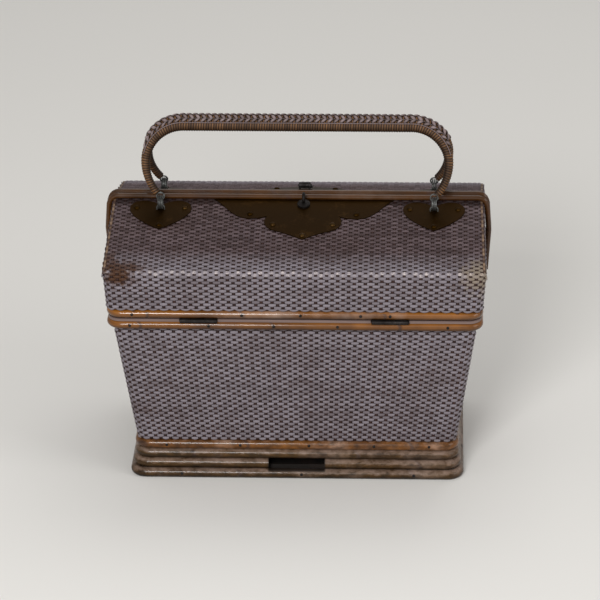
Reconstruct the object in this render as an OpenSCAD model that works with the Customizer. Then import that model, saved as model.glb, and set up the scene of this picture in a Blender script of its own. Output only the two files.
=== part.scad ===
// Woven cane handbag: a tapered basket on a rod plinth, two half lids that
// open outwards, two wrapped handles, brass plates and a small hasp.
// Millimetres, +Z up, origin under the middle of the foot, front towards -Y.

/* [Lid] */
// Width of the lid across its ridge
ridge_w = 300; // [250:1:350]
// Depth of the closed lid from ridge to ridge
ridge_d = 190; // [160:1:220]
// Height of the lid wall, from its rim rod to the ridge
lid_wall_h = 37.5; // [30:0.1:46]
// Rise of the roof from the ridge to the meeting edge
roof_rise = 26; // [20:0.5:32]
// How far the lid wall leans out from rim to ridge
lid_flare = 2.3; // [1:0.1:4]
// Gap between the two half lids where they meet
lid_gap = 0.6; // [0.4:0.1:1.2]

/* [Body] */
// Height of the woven body, from the plinth to its rim rod
body_h = 109; // [88:0.1:132]
// How far the body draws in at its foot, each side
body_taper = 19.6; // [12:0.2:26]
// Corner radius of the woven walls
corner_r = 8; // [6.5:0.5:11]

/* [Weave] */
// Thickness of the woven wall
weave_t = 3; // [2.4:0.1:3.6]
// Height of one row of weaving
row_pitch = 2.42; // [2.2:0.02:3.6]
// Depth of the groove between two rows
row_groove = 0.7; // [0.4:0.05:0.9]

/* [Rods] */
// Diameter of the rim rods of body and lid
rim_rod_d = 6.8; // [5.6:0.1:7.4]
// Thickness of the flat cane strip between the rim rods
strip_h = 2.2; // [2:0.1:3.4]
// Diameter of the rods along the meeting edges of the lids
edge_rod_d = 4.4; // [3.6:0.1:5]
// Bend radius of the rod on the meeting edge where it turns down the gable
edge_bend = 7; // [5:0.5:9]
// Diameter of the rods inside the rims
inner_rod_d = 4.4; // [3.6:0.1:5]
// Diameter of the four plinth rods
plinth_rod_d = 8; // [7:0.1:9]
// How far the top plinth rod stands out from the weave
plinth_lip = 1.9; // [1.4:0.1:2.5]
// How much further the foot rod stands out
plinth_flare = 3.9; // [2:0.1:5]
// Depth of the flat worn on the underside of the foot rod
foot_flat = 0.5; // [0.3:0.1:0.8]
// Thickness of the bamboo band inside the plinth rods
band_t = 2.5; // [2:0.1:3.5]
// Width of the slots in the plinth
slot_w = 45; // [30:1:60]

/* [Hinges] */
// Distance of each hinge from the middle
hinge_x = 75; // [60:1:95]
// Length of a hinge
hinge_len = 29; // [22:1:36]
// Diameter of the hinge barrel
barrel_d = 3.6; // [3.2:0.1:4]
// Diameter of the hinge pin
pin_d = 1.6; // [1.2:0.1:1.8]
// Thickness of the hinge leaves
leaf_t = 1; // [0.8:0.05:1.1]
// Reach of the hinge leaves under the rods
leaf_reach = 9; // [7:0.5:9.5]

/* [Handles] */
// Thickness of a wrapped handle at its middle
handle_d = 9.7; // [8:0.1:11]
// Thickness of a handle at its ends
handle_end_d = 6.4; // [5.4:0.1:7]
// How far a handle bows out past its rings
handle_out = 11.5; // [7.5:0.5:17.5]
// Height of the grip above the rings
handle_h = 62; // [54:0.5:75]
// Radius of the upper bends
handle_bend = 30; // [24:1:34]
// Length of one step of the plaited band
braid_step = 6; // [5:0.5:9]
// Distance of the rings from the ends of the ridge
ring_in = 41.5; // [39:0.5:44]
// Distance of the rings from the meeting edge
ring_y = 19; // [16:0.25:21]
// Diameter of a wire ring, to the middle of its wire
ring_d = 9.8; // [9:0.1:11]
// Wire thickness of rings and staples
wire_d = 1.2; // [1:0.05:1.3]

/* [Brass] */
// Thickness of the brass plates
plate_t = 0.8; // [0.5:0.05:1]
// Width of a heart plate
heart_w = 49; // [42:0.5:54]
// Height of a heart plate
heart_h = 35.4; // [30:0.2:38]
// Width of the winged lock plate
lock_w = 143; // [125:1:150]
// Height of the winged lock plate
lock_h = 50.8; // [43:0.1:55]
// Sideways place of the lock from the middle
lock_x = 5; // [-6:0.5:6]
// Diameter of the plate nails
nail_d = 2.6; // [2:0.1:3]

/* [Lock] */
// Diameter of the round feet of staple and hasp
lock_foot_d = 10; // [9:0.2:11]
// Wire thickness of the lock staple
lock_wire_d = 2.4; // [2:0.1:2.8]
// Loop radius of the lock staple
lock_loop_r = 3.3; // [2.9:0.1:3.6]
// Thickness of the hasp
hasp_t = 1.6; // [1.2:0.1:2]
// Width of the hasp
hasp_w = 11; // [9:0.5:13]
// Diameter of the hasp pin
hasp_pin_d = 2; // [1.6:0.1:2.2]

/* [Clearances] */
// Running clearance of pins, on the radius
run = 0.05; // [0.02:0.01:0.1]
// Gap between parts that move past each other
clear = 0.4; // [0.3:0.05:0.6]
// Seat between parts that lie on each other
seat = 0.02; // [0.01:0.01:0.05]

/* [Hidden] */
$fn = 48;
g = lid_gap / 2;
corner_n = 3;

// Levels, from the foot upwards
foot_cz = plinth_rod_d / 2 - foot_flat;
plinth_pitch = plinth_rod_d + seat;
plinth_top = foot_cz + 3 * plinth_pitch + plinth_rod_d / 2;
body_z = plinth_top + seat;
rim_z = body_z + body_h;
strip_z = rim_z + rim_rod_d / 2 + seat;
lid_rod_z = strip_z + strip_h + clear + rim_rod_d / 2;
lid_wall_z = lid_rod_z + rim_rod_d * 0.62;
hinge_z = (rim_z + lid_rod_z) / 2;
ridge_z = lid_rod_z + lid_wall_h;
top_z = ridge_z + roof_rise;

// Half sizes, outside faces
ridge_hx = ridge_w / 2;
ridge_hy = ridge_d / 2;
rim_hx = ridge_hx - lid_flare;
rim_hy = ridge_hy - lid_flare;
foot_hx = rim_hx - body_taper;
foot_hy = rim_hy - body_taper;
neck_in = rim_rod_d + seat;
bulge_in = rim_rod_d * 0.76;
rod_r = corner_r + 1;
hinge_y = rim_hy - 0.2;

// Roof
slope = atan(roof_rise / ridge_hy);
function roof_z(y) = top_z - y * tan(slope);
plate_rise = plate_t + seat;

// Rods on the meeting edges
edge_y = edge_rod_d;
edge_z = roof_z(edge_y) + (edge_rod_d / 2 + seat) / cos(slope);
edge_v = edge_y / cos(slope) - (edge_rod_d / 2 + seat) * tan(slope);
gable_top_hx = ridge_hx - 1.8;
edge_bend_x = gable_top_hx + edge_rod_d / 2 + seat - edge_bend;
edge_bend_z = edge_z - edge_bend;

// Rings, staples and handles
ring_x = ridge_hx - ring_in;
handle_hw = ring_x + handle_out;
ring_r = ring_d / 2;
loop_r = 1.5 + wire_d + 0.25;
ring_z = roof_z(ring_y) + (plate_rise + ring_r + wire_d / 2 + clear * 0.75) / cos(slope);
handle_touch = handle_d / 2 + clear * 1.5;
handle_lean = asin((ring_y - handle_touch) / handle_h);
eye_out = loop_r + wire_d / 2 + seat;
leg_drop = handle_h - handle_bend - ring_r;
leg_in = handle_hw - ring_x;
leg_r = (leg_drop * leg_drop + leg_in * leg_in - eye_out * eye_out) / (2 * leg_in);
leg_a = atan2(leg_drop, leg_r - leg_in) - atan2(eye_out, leg_r);
s_bend = handle_hw - handle_bend;
s_leg = s_bend + handle_bend * PI / 2;
s_end = s_leg + leg_r * leg_a * PI / 180;

// Lock
lock_y = edge_y + edge_rod_d / 2 + clear + lock_foot_d / 2;
lock_top = roof_z(lock_y) + plate_rise / cos(slope);
lock_eye_z = lock_top + 3 + lock_loop_r;
hasp_z = edge_z + edge_rod_d / 2 + clear + hasp_t / 2;
hasp_reach = 2 * lock_y + lock_loop_r + lock_wire_d / 2 + 3;
hasp_rise = (hasp_z - lock_top) * cos(slope);
hasp_rest = slope + asin((hasp_rise - hasp_t / 2 - clear) / hasp_reach);

cane = [0.62, 0.54, 0.52];
cane_rod = [0.55, 0.44, 0.38];
cane_dark = [0.36, 0.28, 0.22];
brass = [0.45, 0.33, 0.14];
iron = [0.22, 0.2, 0.2];

// Shared shapes

function mix(a, b, t) = a + (b - a) * t;

// Bezier curve from a to d, without its last point
function curve(a, b, c, d, n = 8) = [for (i = [0 : n - 1]) let (t = i / n, u = 1 - t)
    u * u * u * a + 3 * u * u * t * b + 3 * u * t * t * c + t * t * t * d];

// Closed ring of points with rounded corners at one level
function ring_at(hx, hy, r, z) = [for (q = [0 : 3], k = [0 : corner_n])
    let (a = 90 * q + 90 * k / corner_n,
         sx = (q == 0 || q == 3) ? 1 : -1,
         sy = q < 2 ? 1 : -1)
    [sx * (hx - r) + r * cos(a), sy * (hy - r) + r * sin(a), z]];

// Open ring round the front of a half lid; dip lowers only its front part
function half_at(hx, hy, r, z, dip = 0) = concat(
    [[-hx, -g, z]],
    [for (q = [2 : 3], k = [0 : corner_n])
        let (a = 90 * q + 90 * k / corner_n,
             w = q == 2 ? k / corner_n : 1 - k / corner_n)
        [(q == 2 ? -1 : 1) * (hx - r) + r * cos(a), r - hy + r * sin(a), z - dip * w]],
    [[hx, -g, z]]);

// Skin over a list of equal rings; closed rings with a bottom and an inner floor
module skin_closed(rings) {
    n = len(rings[0]);
    m = len(rings);
    polyhedron(
        points = [for (r = rings) each r],
        faces = concat(
            [[for (j = [0 : n - 1]) j]],
            [[for (j = [n - 1 : -1 : 0]) (m - 1) * n + j]],
            [for (i = [0 : m - 2], j = [0 : n - 1]) let (k = (j + 1) % n)
                each [[i * n + j, (i + 1) * n + j, (i + 1) * n + k],
                      [i * n + j, (i + 1) * n + k, i * n + k]]]),
        convexity = 6);
}

// Skin over open rings that follow each other round a closed section
module skin_open(rings) {
    n = len(rings[0]);
    m = len(rings);
    polyhedron(
        points = [for (r = rings) each r],
        faces = concat(
            [[for (i = [m - 1 : -1 : 0]) i * n]],
            [[for (i = [0 : m - 1]) i * n + n - 1]],
            [for (i = [0 : m - 1], j = [0 : n - 2]) let (k = (i + 1) % m)
                each [[i * n + j, k * n + j, k * n + j + 1],
                      [i * n + j, k * n + j + 1, i * n + j + 1]]]),
        convexity = 8);
}

// Round rod of changing thickness along a path in the XZ plane
module swept_rod(path, radii, n = 12) {
    m = len(path);
    rings = [for (i = [0 : m - 1])
        let (a = path[max(i - 1, 0)], b = path[min(i + 1, m - 1)],
             t = (b - a) / norm(b - a), r = radii[i])
        [for (k = [0 : n - 1]) let (c = 360 * k / n)
            [path[i][0] - t[1] * r * cos(c), r * sin(c), path[i][1] + t[0] * r * cos(c)]]];
    skin_closed(rings);
}

// Rod bent into a rounded rectangle; half sizes to its centreline
module rod_ring(hx, hy, r, d) {
    for (y = [-hy, hy])
        translate([r - hx, y, 0]) rotate([0, 90, 0]) cylinder(d = d, h = 2 * (hx - r));
    for (x = [-hx, hx])
        translate([x, hy - r, 0]) rotate([90, 0, 0]) cylinder(d = d, h = 2 * (hy - r));
    for (q = [0 : 3])
        translate([(q == 0 || q == 3 ? 1 : -1) * (hx - r), (q < 2 ? 1 : -1) * (hy - r), 0])
            rotate([0, 0, 90 * q]) rotate_extrude(angle = 90) translate([r, 0]) circle(d = d);
}

// Flat rounded rectangle
module rounded(hx, hy, r) {
    square([2 * hx, 2 * (hy - r)], center = true);
    square([2 * (hx - r), 2 * hy], center = true);
    for (x = [r - hx, hx - r], y = [r - hy, hy - r]) translate([x, y]) circle(r);
}

// Carries a front piece to the rear half
module at_rear() { rotate([0, 0, 180]) children(); }

// Puts a flat piece on the front roof, its -Y running down the slope
module on_roof() { translate([0, 0, top_z]) rotate([slope, 0, 0]) children(); }

// Small domed nail standing on z = 0
module nail() {
    rotate_extrude() intersection() {
        translate([0, -nail_d * 0.3]) circle(d = nail_d * 1.16);
        square([nail_d / 2, nail_d]);
    }
}

// Body

function body_in(z) = z < rim_z - rim_rod_d * 1.3
    ? mix(body_taper, bulge_in, (z - body_z) / (body_h - rim_rod_d * 1.3))
    : z < rim_z - rim_rod_d * 0.45
        ? mix(bulge_in, neck_in, (z - rim_z + rim_rod_d * 1.3) / (rim_rod_d * 0.85))
        : neck_in;

module body_weave() {
    top = rim_z + rim_rod_d / 2 - seat;
    rows = round((top - body_z) / row_pitch);
    floor_z = body_z + weave_t;
    bulge_z = rim_z - rim_rod_d * 1.3;
    outer = [for (i = [0 : 2 * rows])
        let (z = mix(body_z, top, i / (2 * rows)),
             d = body_in(z) + (i % 2 == 0 ? row_groove : 0))
        ring_at(rim_hx - d, rim_hy - d, corner_r, z)];
    inner = [for (p = [[top, neck_in], [rim_z - rim_rod_d * 0.45, neck_in],
                       [bulge_z, bulge_in], [floor_z, body_in(floor_z)]])
        let (d = p[1] + weave_t)
        ring_at(rim_hx - d, rim_hy - d, corner_r - weave_t, p[0])];
    color(cane) skin_closed(concat(outer, inner));
}

module body_rim_rod() {
    color(cane_rod) translate([0, 0, rim_z])
        rod_ring(rim_hx - rim_rod_d / 2, rim_hy - rim_rod_d / 2, rod_r, rim_rod_d);
}

module body_inner_rod() {
    in = neck_in + weave_t + seat + inner_rod_d / 2;
    color(cane_rod) translate([0, 0, rim_z + rim_rod_d / 2 - inner_rod_d / 2])
        rod_ring(rim_hx - in, rim_hy - in, rod_r - 3, inner_rod_d);
}

// Flat cane strip on the rim, let in for the hinge leaves
module rim_strip() {
    out = rim_rod_d * 0.22;
    in = neck_in + weave_t + inner_rod_d * 0.8;
    color(cane) difference() {
        translate([0, 0, strip_z]) linear_extrude(strip_h) difference() {
            rounded(rim_hx - out, rim_hy - out, rod_r + 1);
            rounded(rim_hx - in, rim_hy - in, rod_r - 5);
        }
        for (x = [-hinge_x, hinge_x], y = [-1, 1])
            translate([x, y * (hinge_y - leaf_reach / 2), hinge_z])
                cube([hinge_len + 3 * clear, leaf_reach + 3 * clear, 3 * strip_h], center = true);
    }
}

// Plinth: step counts from the foot rod upwards

function plinth_out(step) = plinth_lip + plinth_flare * [1, 0.45, 0.1, 0][step];

module plinth_rod(step) {
    out = plinth_out(step) - plinth_rod_d / 2;
    translate([0, 0, foot_cz + step * plinth_pitch])
        rod_ring(foot_hx + out, foot_hy + out, rod_r, plinth_rod_d);
}

module plinth_slots(h, z) {
    for (y = [-1, 1]) translate([0, y * foot_hy, z]) cube([slot_w, 40, h], center = true);
}

module plinth_top_rod() { color(cane_rod) plinth_rod(3); }
module plinth_upper_rod() { color(cane_rod) plinth_rod(2); }

module plinth_slot_rod() {
    color(cane_rod) difference() {
        plinth_rod(1);
        plinth_slots(3 * plinth_rod_d, foot_cz + plinth_pitch);
    }
}

module plinth_foot_rod() {
    color(cane_rod) intersection() {
        plinth_rod(0);
        translate([-ridge_w, -ridge_w, 0]) cube([2 * ridge_w, 2 * ridge_w, 2 * plinth_rod_d]);
    }
}

module plinth_band() {
    in = plinth_rod_d - plinth_lip + seat;
    color(cane_dark) difference() {
        translate([0, 0, foot_flat]) linear_extrude(plinth_top - foot_flat) difference() {
            rounded(foot_hx - in, foot_hy - in, rod_r - 4);
            rounded(foot_hx - in - band_t, foot_hy - in - band_t, rod_r - 6);
        }
        plinth_slots(plinth_rod_d, foot_cz + plinth_pitch);
    }
}

// Hinges: the barrel lies between the rim rods, the middle knuckle is the lid's

knuckle = hinge_len / 3;

module barrel(x0, x1) {
    translate([x0, 0, 0]) rotate([0, 90, 0]) cylinder(d = barrel_d, h = x1 - x0);
}

module pin_bore() {
    translate([-hinge_len, 0, 0]) rotate([0, 90, 0]) cylinder(d = pin_d + 2 * run, h = 2 * hinge_len);
}

module at_hinge(side) { translate([side * hinge_x, -hinge_y, hinge_z]) children(); }

module body_leaf() {
    low = strip_z - hinge_z + seat;
    gap = clear / 2;
    back = barrel_d / 2 + clear;
    difference() {
        union() {
            for (x = [-hinge_len / 2, hinge_len / 2 - knuckle + gap]) {
                barrel(x, x + knuckle - gap);
                translate([x, 0, low]) cube([knuckle - gap, back + 1, leaf_t]);
            }
            translate([-hinge_len / 2, back, low]) cube([hinge_len, leaf_reach - back, leaf_t]);
        }
        pin_bore();
    }
}

module lid_leaf() {
    high = lid_rod_z - rim_rod_d / 2 - hinge_z - seat - leaf_t;
    back = barrel_d / 2 + clear;
    difference() {
        union() {
            barrel(-knuckle / 2, knuckle / 2);
            translate([-knuckle / 2, 0, high]) cube([knuckle, back + 1, leaf_t]);
            translate([-hinge_len / 2, back, high]) cube([hinge_len, leaf_reach - back, leaf_t]);
        }
        pin_bore();
    }
}

module hinge_pin() {
    translate([-hinge_len / 2, 0, 0]) rotate([0, 90, 0]) cylinder(d = pin_d, h = hinge_len);
}

module front_left_hinge_body_leaf() { color(iron) at_hinge(-1) body_leaf(); }
module front_left_hinge_lid_leaf() { color(iron) at_hinge(-1) lid_leaf(); }
module front_left_hinge_pin() { color(iron) at_hinge(-1) hinge_pin(); }
module front_right_hinge_body_leaf() { color(iron) at_hinge(1) body_leaf(); }
module front_right_hinge_lid_leaf() { color(iron) at_hinge(1) lid_leaf(); }
module front_right_hinge_pin() { color(iron) at_hinge(1) hinge_pin(); }
module rear_left_hinge_body_leaf() { color(iron) at_rear() at_hinge(1) body_leaf(); }
module rear_left_hinge_lid_leaf() { color(iron) at_rear() at_hinge(1) lid_leaf(); }
module rear_left_hinge_pin() { color(iron) at_rear() at_hinge(1) hinge_pin(); }
module rear_right_hinge_body_leaf() { color(iron) at_rear() at_hinge(-1) body_leaf(); }
module rear_right_hinge_lid_leaf() { color(iron) at_rear() at_hinge(-1) lid_leaf(); }
module rear_right_hinge_pin() { color(iron) at_rear() at_hinge(-1) hinge_pin(); }

// Woven wall of a half lid, from its neck behind the rim rod up to the ridge, mitred at its corners
module lid_wall_weave() {
    low = lid_rod_z - rim_rod_d / 2 + seat;
    neck_z = lid_rod_z + rim_rod_d * 0.45;
    neck_hx = rim_hx - neck_in;
    neck_hy = rim_hy - neck_in;
    rows = round((ridge_z - lid_wall_z) / row_pitch);
    neck = [half_at(neck_hx, neck_hy, corner_r, low), half_at(neck_hx, neck_hy, corner_r, neck_z)];
    wall = [for (i = [0 : 2 * rows])
        let (t = i / (2 * rows), d = i % 2 == 0 && i < 2 * rows ? row_groove : 0)
        half_at(mix(rim_hx, ridge_hx, t) - d, mix(rim_hy, ridge_hy, t) - d, corner_r,
                mix(lid_wall_z, ridge_z, t))];
    inside = [
        half_at(ridge_hx - weave_t, ridge_hy - weave_t, corner_r - weave_t, ridge_z),
        half_at(rim_hx - weave_t, rim_hy - weave_t, corner_r - weave_t, lid_wall_z),
        half_at(neck_hx - weave_t, neck_hy - weave_t, corner_r - weave_t, neck_z),
        half_at(neck_hx - weave_t, neck_hy - weave_t, corner_r - weave_t, low)];
    color(cane) difference() {
        skin_open(concat(neck, wall, inside));
        for (k = [-1, 1]) translate([k * ridge_hx, -ridge_hy, low - 1]) rotate(90 + k * 45)
            translate([-9, -seat / 2, 0]) cube([60, seat, lid_wall_h + rim_rod_d]);
    }
}

// Woven roof of a half lid between its two gable ends, which stand on the wall's top edge
module lid_roof_weave() {
    tiles = round(ridge_hy / cos(slope) / row_pitch);
    edge_hy = g + 0.6;
    t_in = weave_t / cos(slope);
    round_r = edge_bend - edge_rod_d / 2 - clear / 2;
    roof = [for (i = [1 : 2 * tiles])
        let (t = i / (2 * tiles), hy = mix(ridge_hy, edge_hy, t), z = mix(ridge_z, roof_z(edge_hy), t),
             d = i % 2 == 0 ? min(row_groove, (z - ridge_z) / 2) : 0,
             e = row_groove * (0.5 + 0.5 * cos(360 * (z - ridge_z) / row_pitch)),
             up = max(0, z - edge_bend_z),
             round_hx = edge_bend_x + (up < round_r ? sqrt(round_r * round_r - up * up) : 0),
             hx = up > 0 ? min(mix(ridge_hx, gable_top_hx, t), round_hx) : mix(ridge_hx, gable_top_hx, t))
        half_at(hx - e, hy, min(corner_r, hy - g - 0.1), z, d)];
    inside = [
        half_at(gable_top_hx - weave_t, edge_hy, 0.4, roof_z(edge_hy) - t_in),
        half_at(ridge_hx - weave_t, ridge_hy - (t_in + seat) / tan(slope), corner_r - weave_t, ridge_z + seat)];
    color(cane) difference() {
        skin_open(concat([half_at(ridge_hx, ridge_hy, corner_r, ridge_z + seat)], roof, inside));
        for (k = [-1, 1]) translate([k * (ridge_hx - corner_r - weave_t) - seat / 2, -ridge_d, ridge_z - 1])
            cube([seat, 2 * ridge_d, roof_rise + 9]);
    }
}

module lid_rim_rod() {
    hx = rim_hx - rim_rod_d / 2;
    hy = rim_hy - rim_rod_d / 2;
    color(cane_rod) translate([0, 0, lid_rod_z]) intersection() {
        rod_ring(hx, hy, rod_r, rim_rod_d);
        translate([-ridge_w, -ridge_w - g, -rim_rod_d]) cube([2 * ridge_w, ridge_w, 2 * rim_rod_d]);
    }
}

// Rod along the meeting edge, bent down both gable ends to the rim rod
module lid_edge_rod() {
    r = edge_rod_d / 2;
    side = [[rim_hx + r + 2 * seat, lid_wall_z - r * 0.4],
            [ridge_hx + r + 2 * seat, ridge_z],
            [edge_bend_x + edge_bend + clear, edge_bend_z]];
    half = concat(side, [for (k = [1 : 5])
        [edge_bend_x + edge_bend * cos(18 * k), edge_bend_z + edge_bend * sin(18 * k)]]);
    path = concat([for (p = half) [-p[0], p[1]]], [for (i = [len(half) - 1 : -1 : 0]) half[i]]);
    color(cane_rod) translate([0, -edge_y, 0]) swept_rod(path, [for (p = path) r]);
}

// Rod under the meeting edge, between the two gable walls
module lid_inner_rod() {
    r = inner_rod_d / 2;
    hx = gable_top_hx - weave_t - 2 * seat;
    color(cane_rod)
        translate([-hx, -g - r, roof_z(g + 2 * r) - weave_t / cos(slope) - r - seat])
            rotate([0, 90, 0]) cylinder(r = r, h = 2 * hx);
}

// Heart plate: its notch holds the handle staple
function heart_outline() = let (w = heart_w / 2, h = heart_h, notch = heart_h * 0.2)
    concat(
        curve([0, -notch], [w * 0.13, -h * 0.06], [w * 0.34, 0], [w * 0.57, 0]),
        curve([w * 0.57, 0], [w * 0.83, 0], [w, -h * 0.11], [w, -h * 0.28]),
        curve([w, -h * 0.28], [w, -h * 0.53], [w * 0.42, -h * 0.87], [0, -h]));

heart_v = ring_y / cos(slope) - heart_h * 0.2 - 4;

module heart(x) {
    half = heart_outline();
    color(brass) difference() {
        on_roof() translate([x, -heart_v, seat]) linear_extrude(plate_t)
            polygon(concat(half, [[0, -heart_h]],
                [for (i = [len(half) - 1 : -1 : 1]) [-half[i][0], half[i][1]]]));
        staple_legs(x, wire_d + 4 * run);
    }
}

// Winged lock plate: two wings, a cusp on each side and a pointed lower lobe
function lock_outline() = let (w = lock_w / 2, h = lock_h)
    concat(
        curve([w, 0], [w * 0.88, -h * 0.12], [w * 0.79, -h * 0.48], [w * 0.605, -h * 0.48]),
        curve([w * 0.605, -h * 0.48], [w * 0.53, -h * 0.48], [w * 0.45, -h * 0.46], [w * 0.397, -h * 0.42], 5),
        curve([w * 0.397, -h * 0.42], [w * 0.46, -h * 0.55], [w * 0.43, -h * 0.73], [w * 0.29, -h * 0.79]),
        curve([w * 0.29, -h * 0.79], [w * 0.195, -h * 0.84], [w * 0.085, -h * 0.92], [0, -h]));

lock_v = edge_v + sqrt(pow(edge_rod_d / 2, 2) - pow(edge_rod_d / 2 + seat - plate_rise, 2)) + clear / 2;

module lock_plate(x) {
    half = lock_outline();
    color(brass) on_roof() translate([x, -lock_v, seat]) linear_extrude(plate_t)
        polygon(concat(half, [[0, -lock_h]],
            [for (i = [len(half) - 1 : -1 : 0]) [-half[i][0], half[i][1]]]));
}

module plate_nails(lock) {
    w = heart_w / 2;
    color(brass) on_roof() translate([0, 0, plate_rise + seat]) {
        for (x = [-ring_x, ring_x]) {
            for (k = [-0.78, 0.78]) translate([x + k * w, -heart_v - heart_h * 0.25, 0]) nail();
            translate([x, -heart_v - heart_h * 0.87, 0]) nail();
        }
        for (k = [-1, 1]) {
            translate([lock + k * lock_w * 0.295, -lock_v - lock_h * 0.37, 0]) nail();
            translate([lock + k * lock_w * 0.165, -lock_v - lock_h * 0.63, 0]) nail();
        }
        translate([lock, -lock_v - lock_h * 0.9, 0]) nail();
    }
}

// Wire staple over the lowest point of a ring

module staple_legs(x, d) {
    low = roof_z(ring_y) + plate_rise / 2;
    for (k = [-loop_r, loop_r])
        translate([x + k, -ring_y, low]) cylinder(d = d, h = ring_z - ring_r - low);
}

module handle_staples() {
    color(iron) for (x = [-ring_x, ring_x]) {
        staple_legs(x, wire_d);
        translate([x, -ring_y, ring_z - ring_r]) rotate([90, 0, 0])
            rotate_extrude(angle = 180) translate([loop_r, 0]) circle(d = wire_d, $fn = 24);
    }
}

// Round foot of staple or hasp on the lock plate
module lock_foot(x, h) {
    on_roof() translate([x, -lock_y / cos(slope), plate_rise + seat])
        rotate_extrude() intersection() {
            translate([0, h - lock_foot_d]) circle(r = lock_foot_d);
            square([lock_foot_d / 2, h]);
        }
}

module front_lock_staple() {
    color(iron) {
        lock_foot(lock_x, 3);
        translate([lock_x, -lock_y, lock_eye_z - 0.6]) rotate([0, 90, 0])
            rotate_extrude() translate([lock_loop_r, 0]) circle(d = lock_wire_d, $fn = 24);
    }
}

// Hasp on the rear half: bracket with two lugs, pin, and a slotted leaf lying back

lug_x = 3 + clear / 2;
lug_t = 1.5;
knob_d = hasp_pin_d + 2.6;

module hasp_bracket() {
    color(iron) difference() {
        union() {
            at_rear() lock_foot(-lock_x, 1.8);
            for (x = [-lug_x - lug_t, lug_x]) translate([lock_x + x, lock_y, 0]) {
                translate([0, 0, hasp_z]) rotate([0, 90, 0]) cylinder(d = knob_d, h = lug_t);
                translate([0, -knob_d / 2, lock_top + 0.6])
                    cube([lug_t, knob_d, hasp_z - lock_top - 0.6]);
            }
        }
        translate([lock_x - 20, lock_y, hasp_z]) rotate([0, 90, 0])
            cylinder(d = hasp_pin_d + 2 * run, h = 40);
    }
}

module hasp_pin() {
    color(iron) translate([lock_x - lug_x - lug_t - 0.4, lock_y, hasp_z]) rotate([0, 90, 0])
        cylinder(d = hasp_pin_d, h = 2 * (lug_x + lug_t + 0.4));
}

module hasp_leaf() {
    slot = 2 * lock_loop_r + lock_wire_d + 2.4;
    color(iron) translate([lock_x, lock_y, hasp_z]) rotate([-hasp_rest, 0, 0]) difference() {
        union() {
            translate([-3, 0, 0]) rotate([0, 90, 0]) cylinder(d = knob_d, h = 6);
            translate([0, 0, -hasp_t / 2]) linear_extrude(hasp_t) {
                translate([-3, 0]) square([6, knob_d + 1]);
                translate([-hasp_w / 2, knob_d / 2 + 1.2])
                    square([hasp_w, hasp_reach - hasp_w / 2 - knob_d / 2 - 1.2]);
                translate([0, hasp_reach - hasp_w / 2]) circle(d = hasp_w);
            }
        }
        translate([-10, 0, 0]) rotate([0, 90, 0]) cylinder(d = hasp_pin_d + 2 * run, h = 20);
        translate([-lock_wire_d / 2 - 0.8, 2 * lock_y - slot / 2, -hasp_t])
            cube([lock_wire_d + 1.6, slot, 2 * hasp_t]);
    }
}

module front_lid_wall_weave() { lid_wall_weave(); }
module front_lid_roof_weave() { lid_roof_weave(); }
module front_lid_rim_rod() { lid_rim_rod(); }
module front_lid_edge_rod() { lid_edge_rod(); }
module front_lid_inner_rod() { lid_inner_rod(); }
module front_left_heart() { heart(-ring_x); }
module front_right_heart() { heart(ring_x); }
module front_lock_plate() { lock_plate(lock_x); }
module front_plate_nails() { plate_nails(lock_x); }
module front_handle_staples() { handle_staples(); }
module rear_lid_wall_weave() { at_rear() lid_wall_weave(); }
module rear_lid_roof_weave() { at_rear() lid_roof_weave(); }
module rear_lid_rim_rod() { at_rear() lid_rim_rod(); }
module rear_lid_edge_rod() { at_rear() lid_edge_rod(); }
module rear_lid_inner_rod() { at_rear() lid_inner_rod(); }
module rear_left_heart() { at_rear() heart(ring_x); }
module rear_right_heart() { at_rear() heart(-ring_x); }
module rear_lock_plate() { at_rear() lock_plate(-lock_x); }
module rear_plate_nails() { at_rear() plate_nails(-lock_x); }
module rear_handle_staples() { at_rear() handle_staples(); }

// Handles: drawn upright with the ring axis at the origin, then leaned inwards

// Centreline point and outward direction at a length s from the middle of the grip
function grip(s) = let (k = s < 0 ? -1 : 1, l = abs(s))
    l <= s_bend ? [[k * l, handle_h], [0, 1]]
    : l <= s_leg
        ? let (a = (l - s_bend) / handle_bend * 180 / PI)
          [[k * (s_bend + handle_bend * sin(a)), handle_h - handle_bend + handle_bend * cos(a)],
           [k * sin(a), cos(a)]]
        : let (b = (l - s_leg) / leg_r * 180 / PI)
          [[k * (handle_hw - leg_r + leg_r * cos(b)), handle_h - handle_bend - leg_r * sin(b)],
           [k * cos(b), -sin(b)]];

function grip_r(s) = let (t = max(0, (abs(s) - s_bend) / (s_end - s_bend)))
    mix(handle_d, handle_end_d, t * t * (3 - 2 * t)) / 2;

module lean() { translate([0, -ring_y, ring_z]) rotate([-handle_lean, 0, 0]) children(); }

module handle_core() {
    half = concat([0, s_bend * 0.5],
                  [for (k = [0 : 8]) mix(s_bend, s_leg, k / 8)],
                  [for (k = [1 : 6]) mix(s_leg, s_end, k / 6)]);
    n = len(half);
    run_s = concat([for (i = [n - 1 : -1 : 1]) -half[i]], half);
    color(cane_dark) lean() swept_rod([for (s = run_s) grip(s)[0]], [for (s = run_s) grip_r(s)], 14);
}

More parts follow.
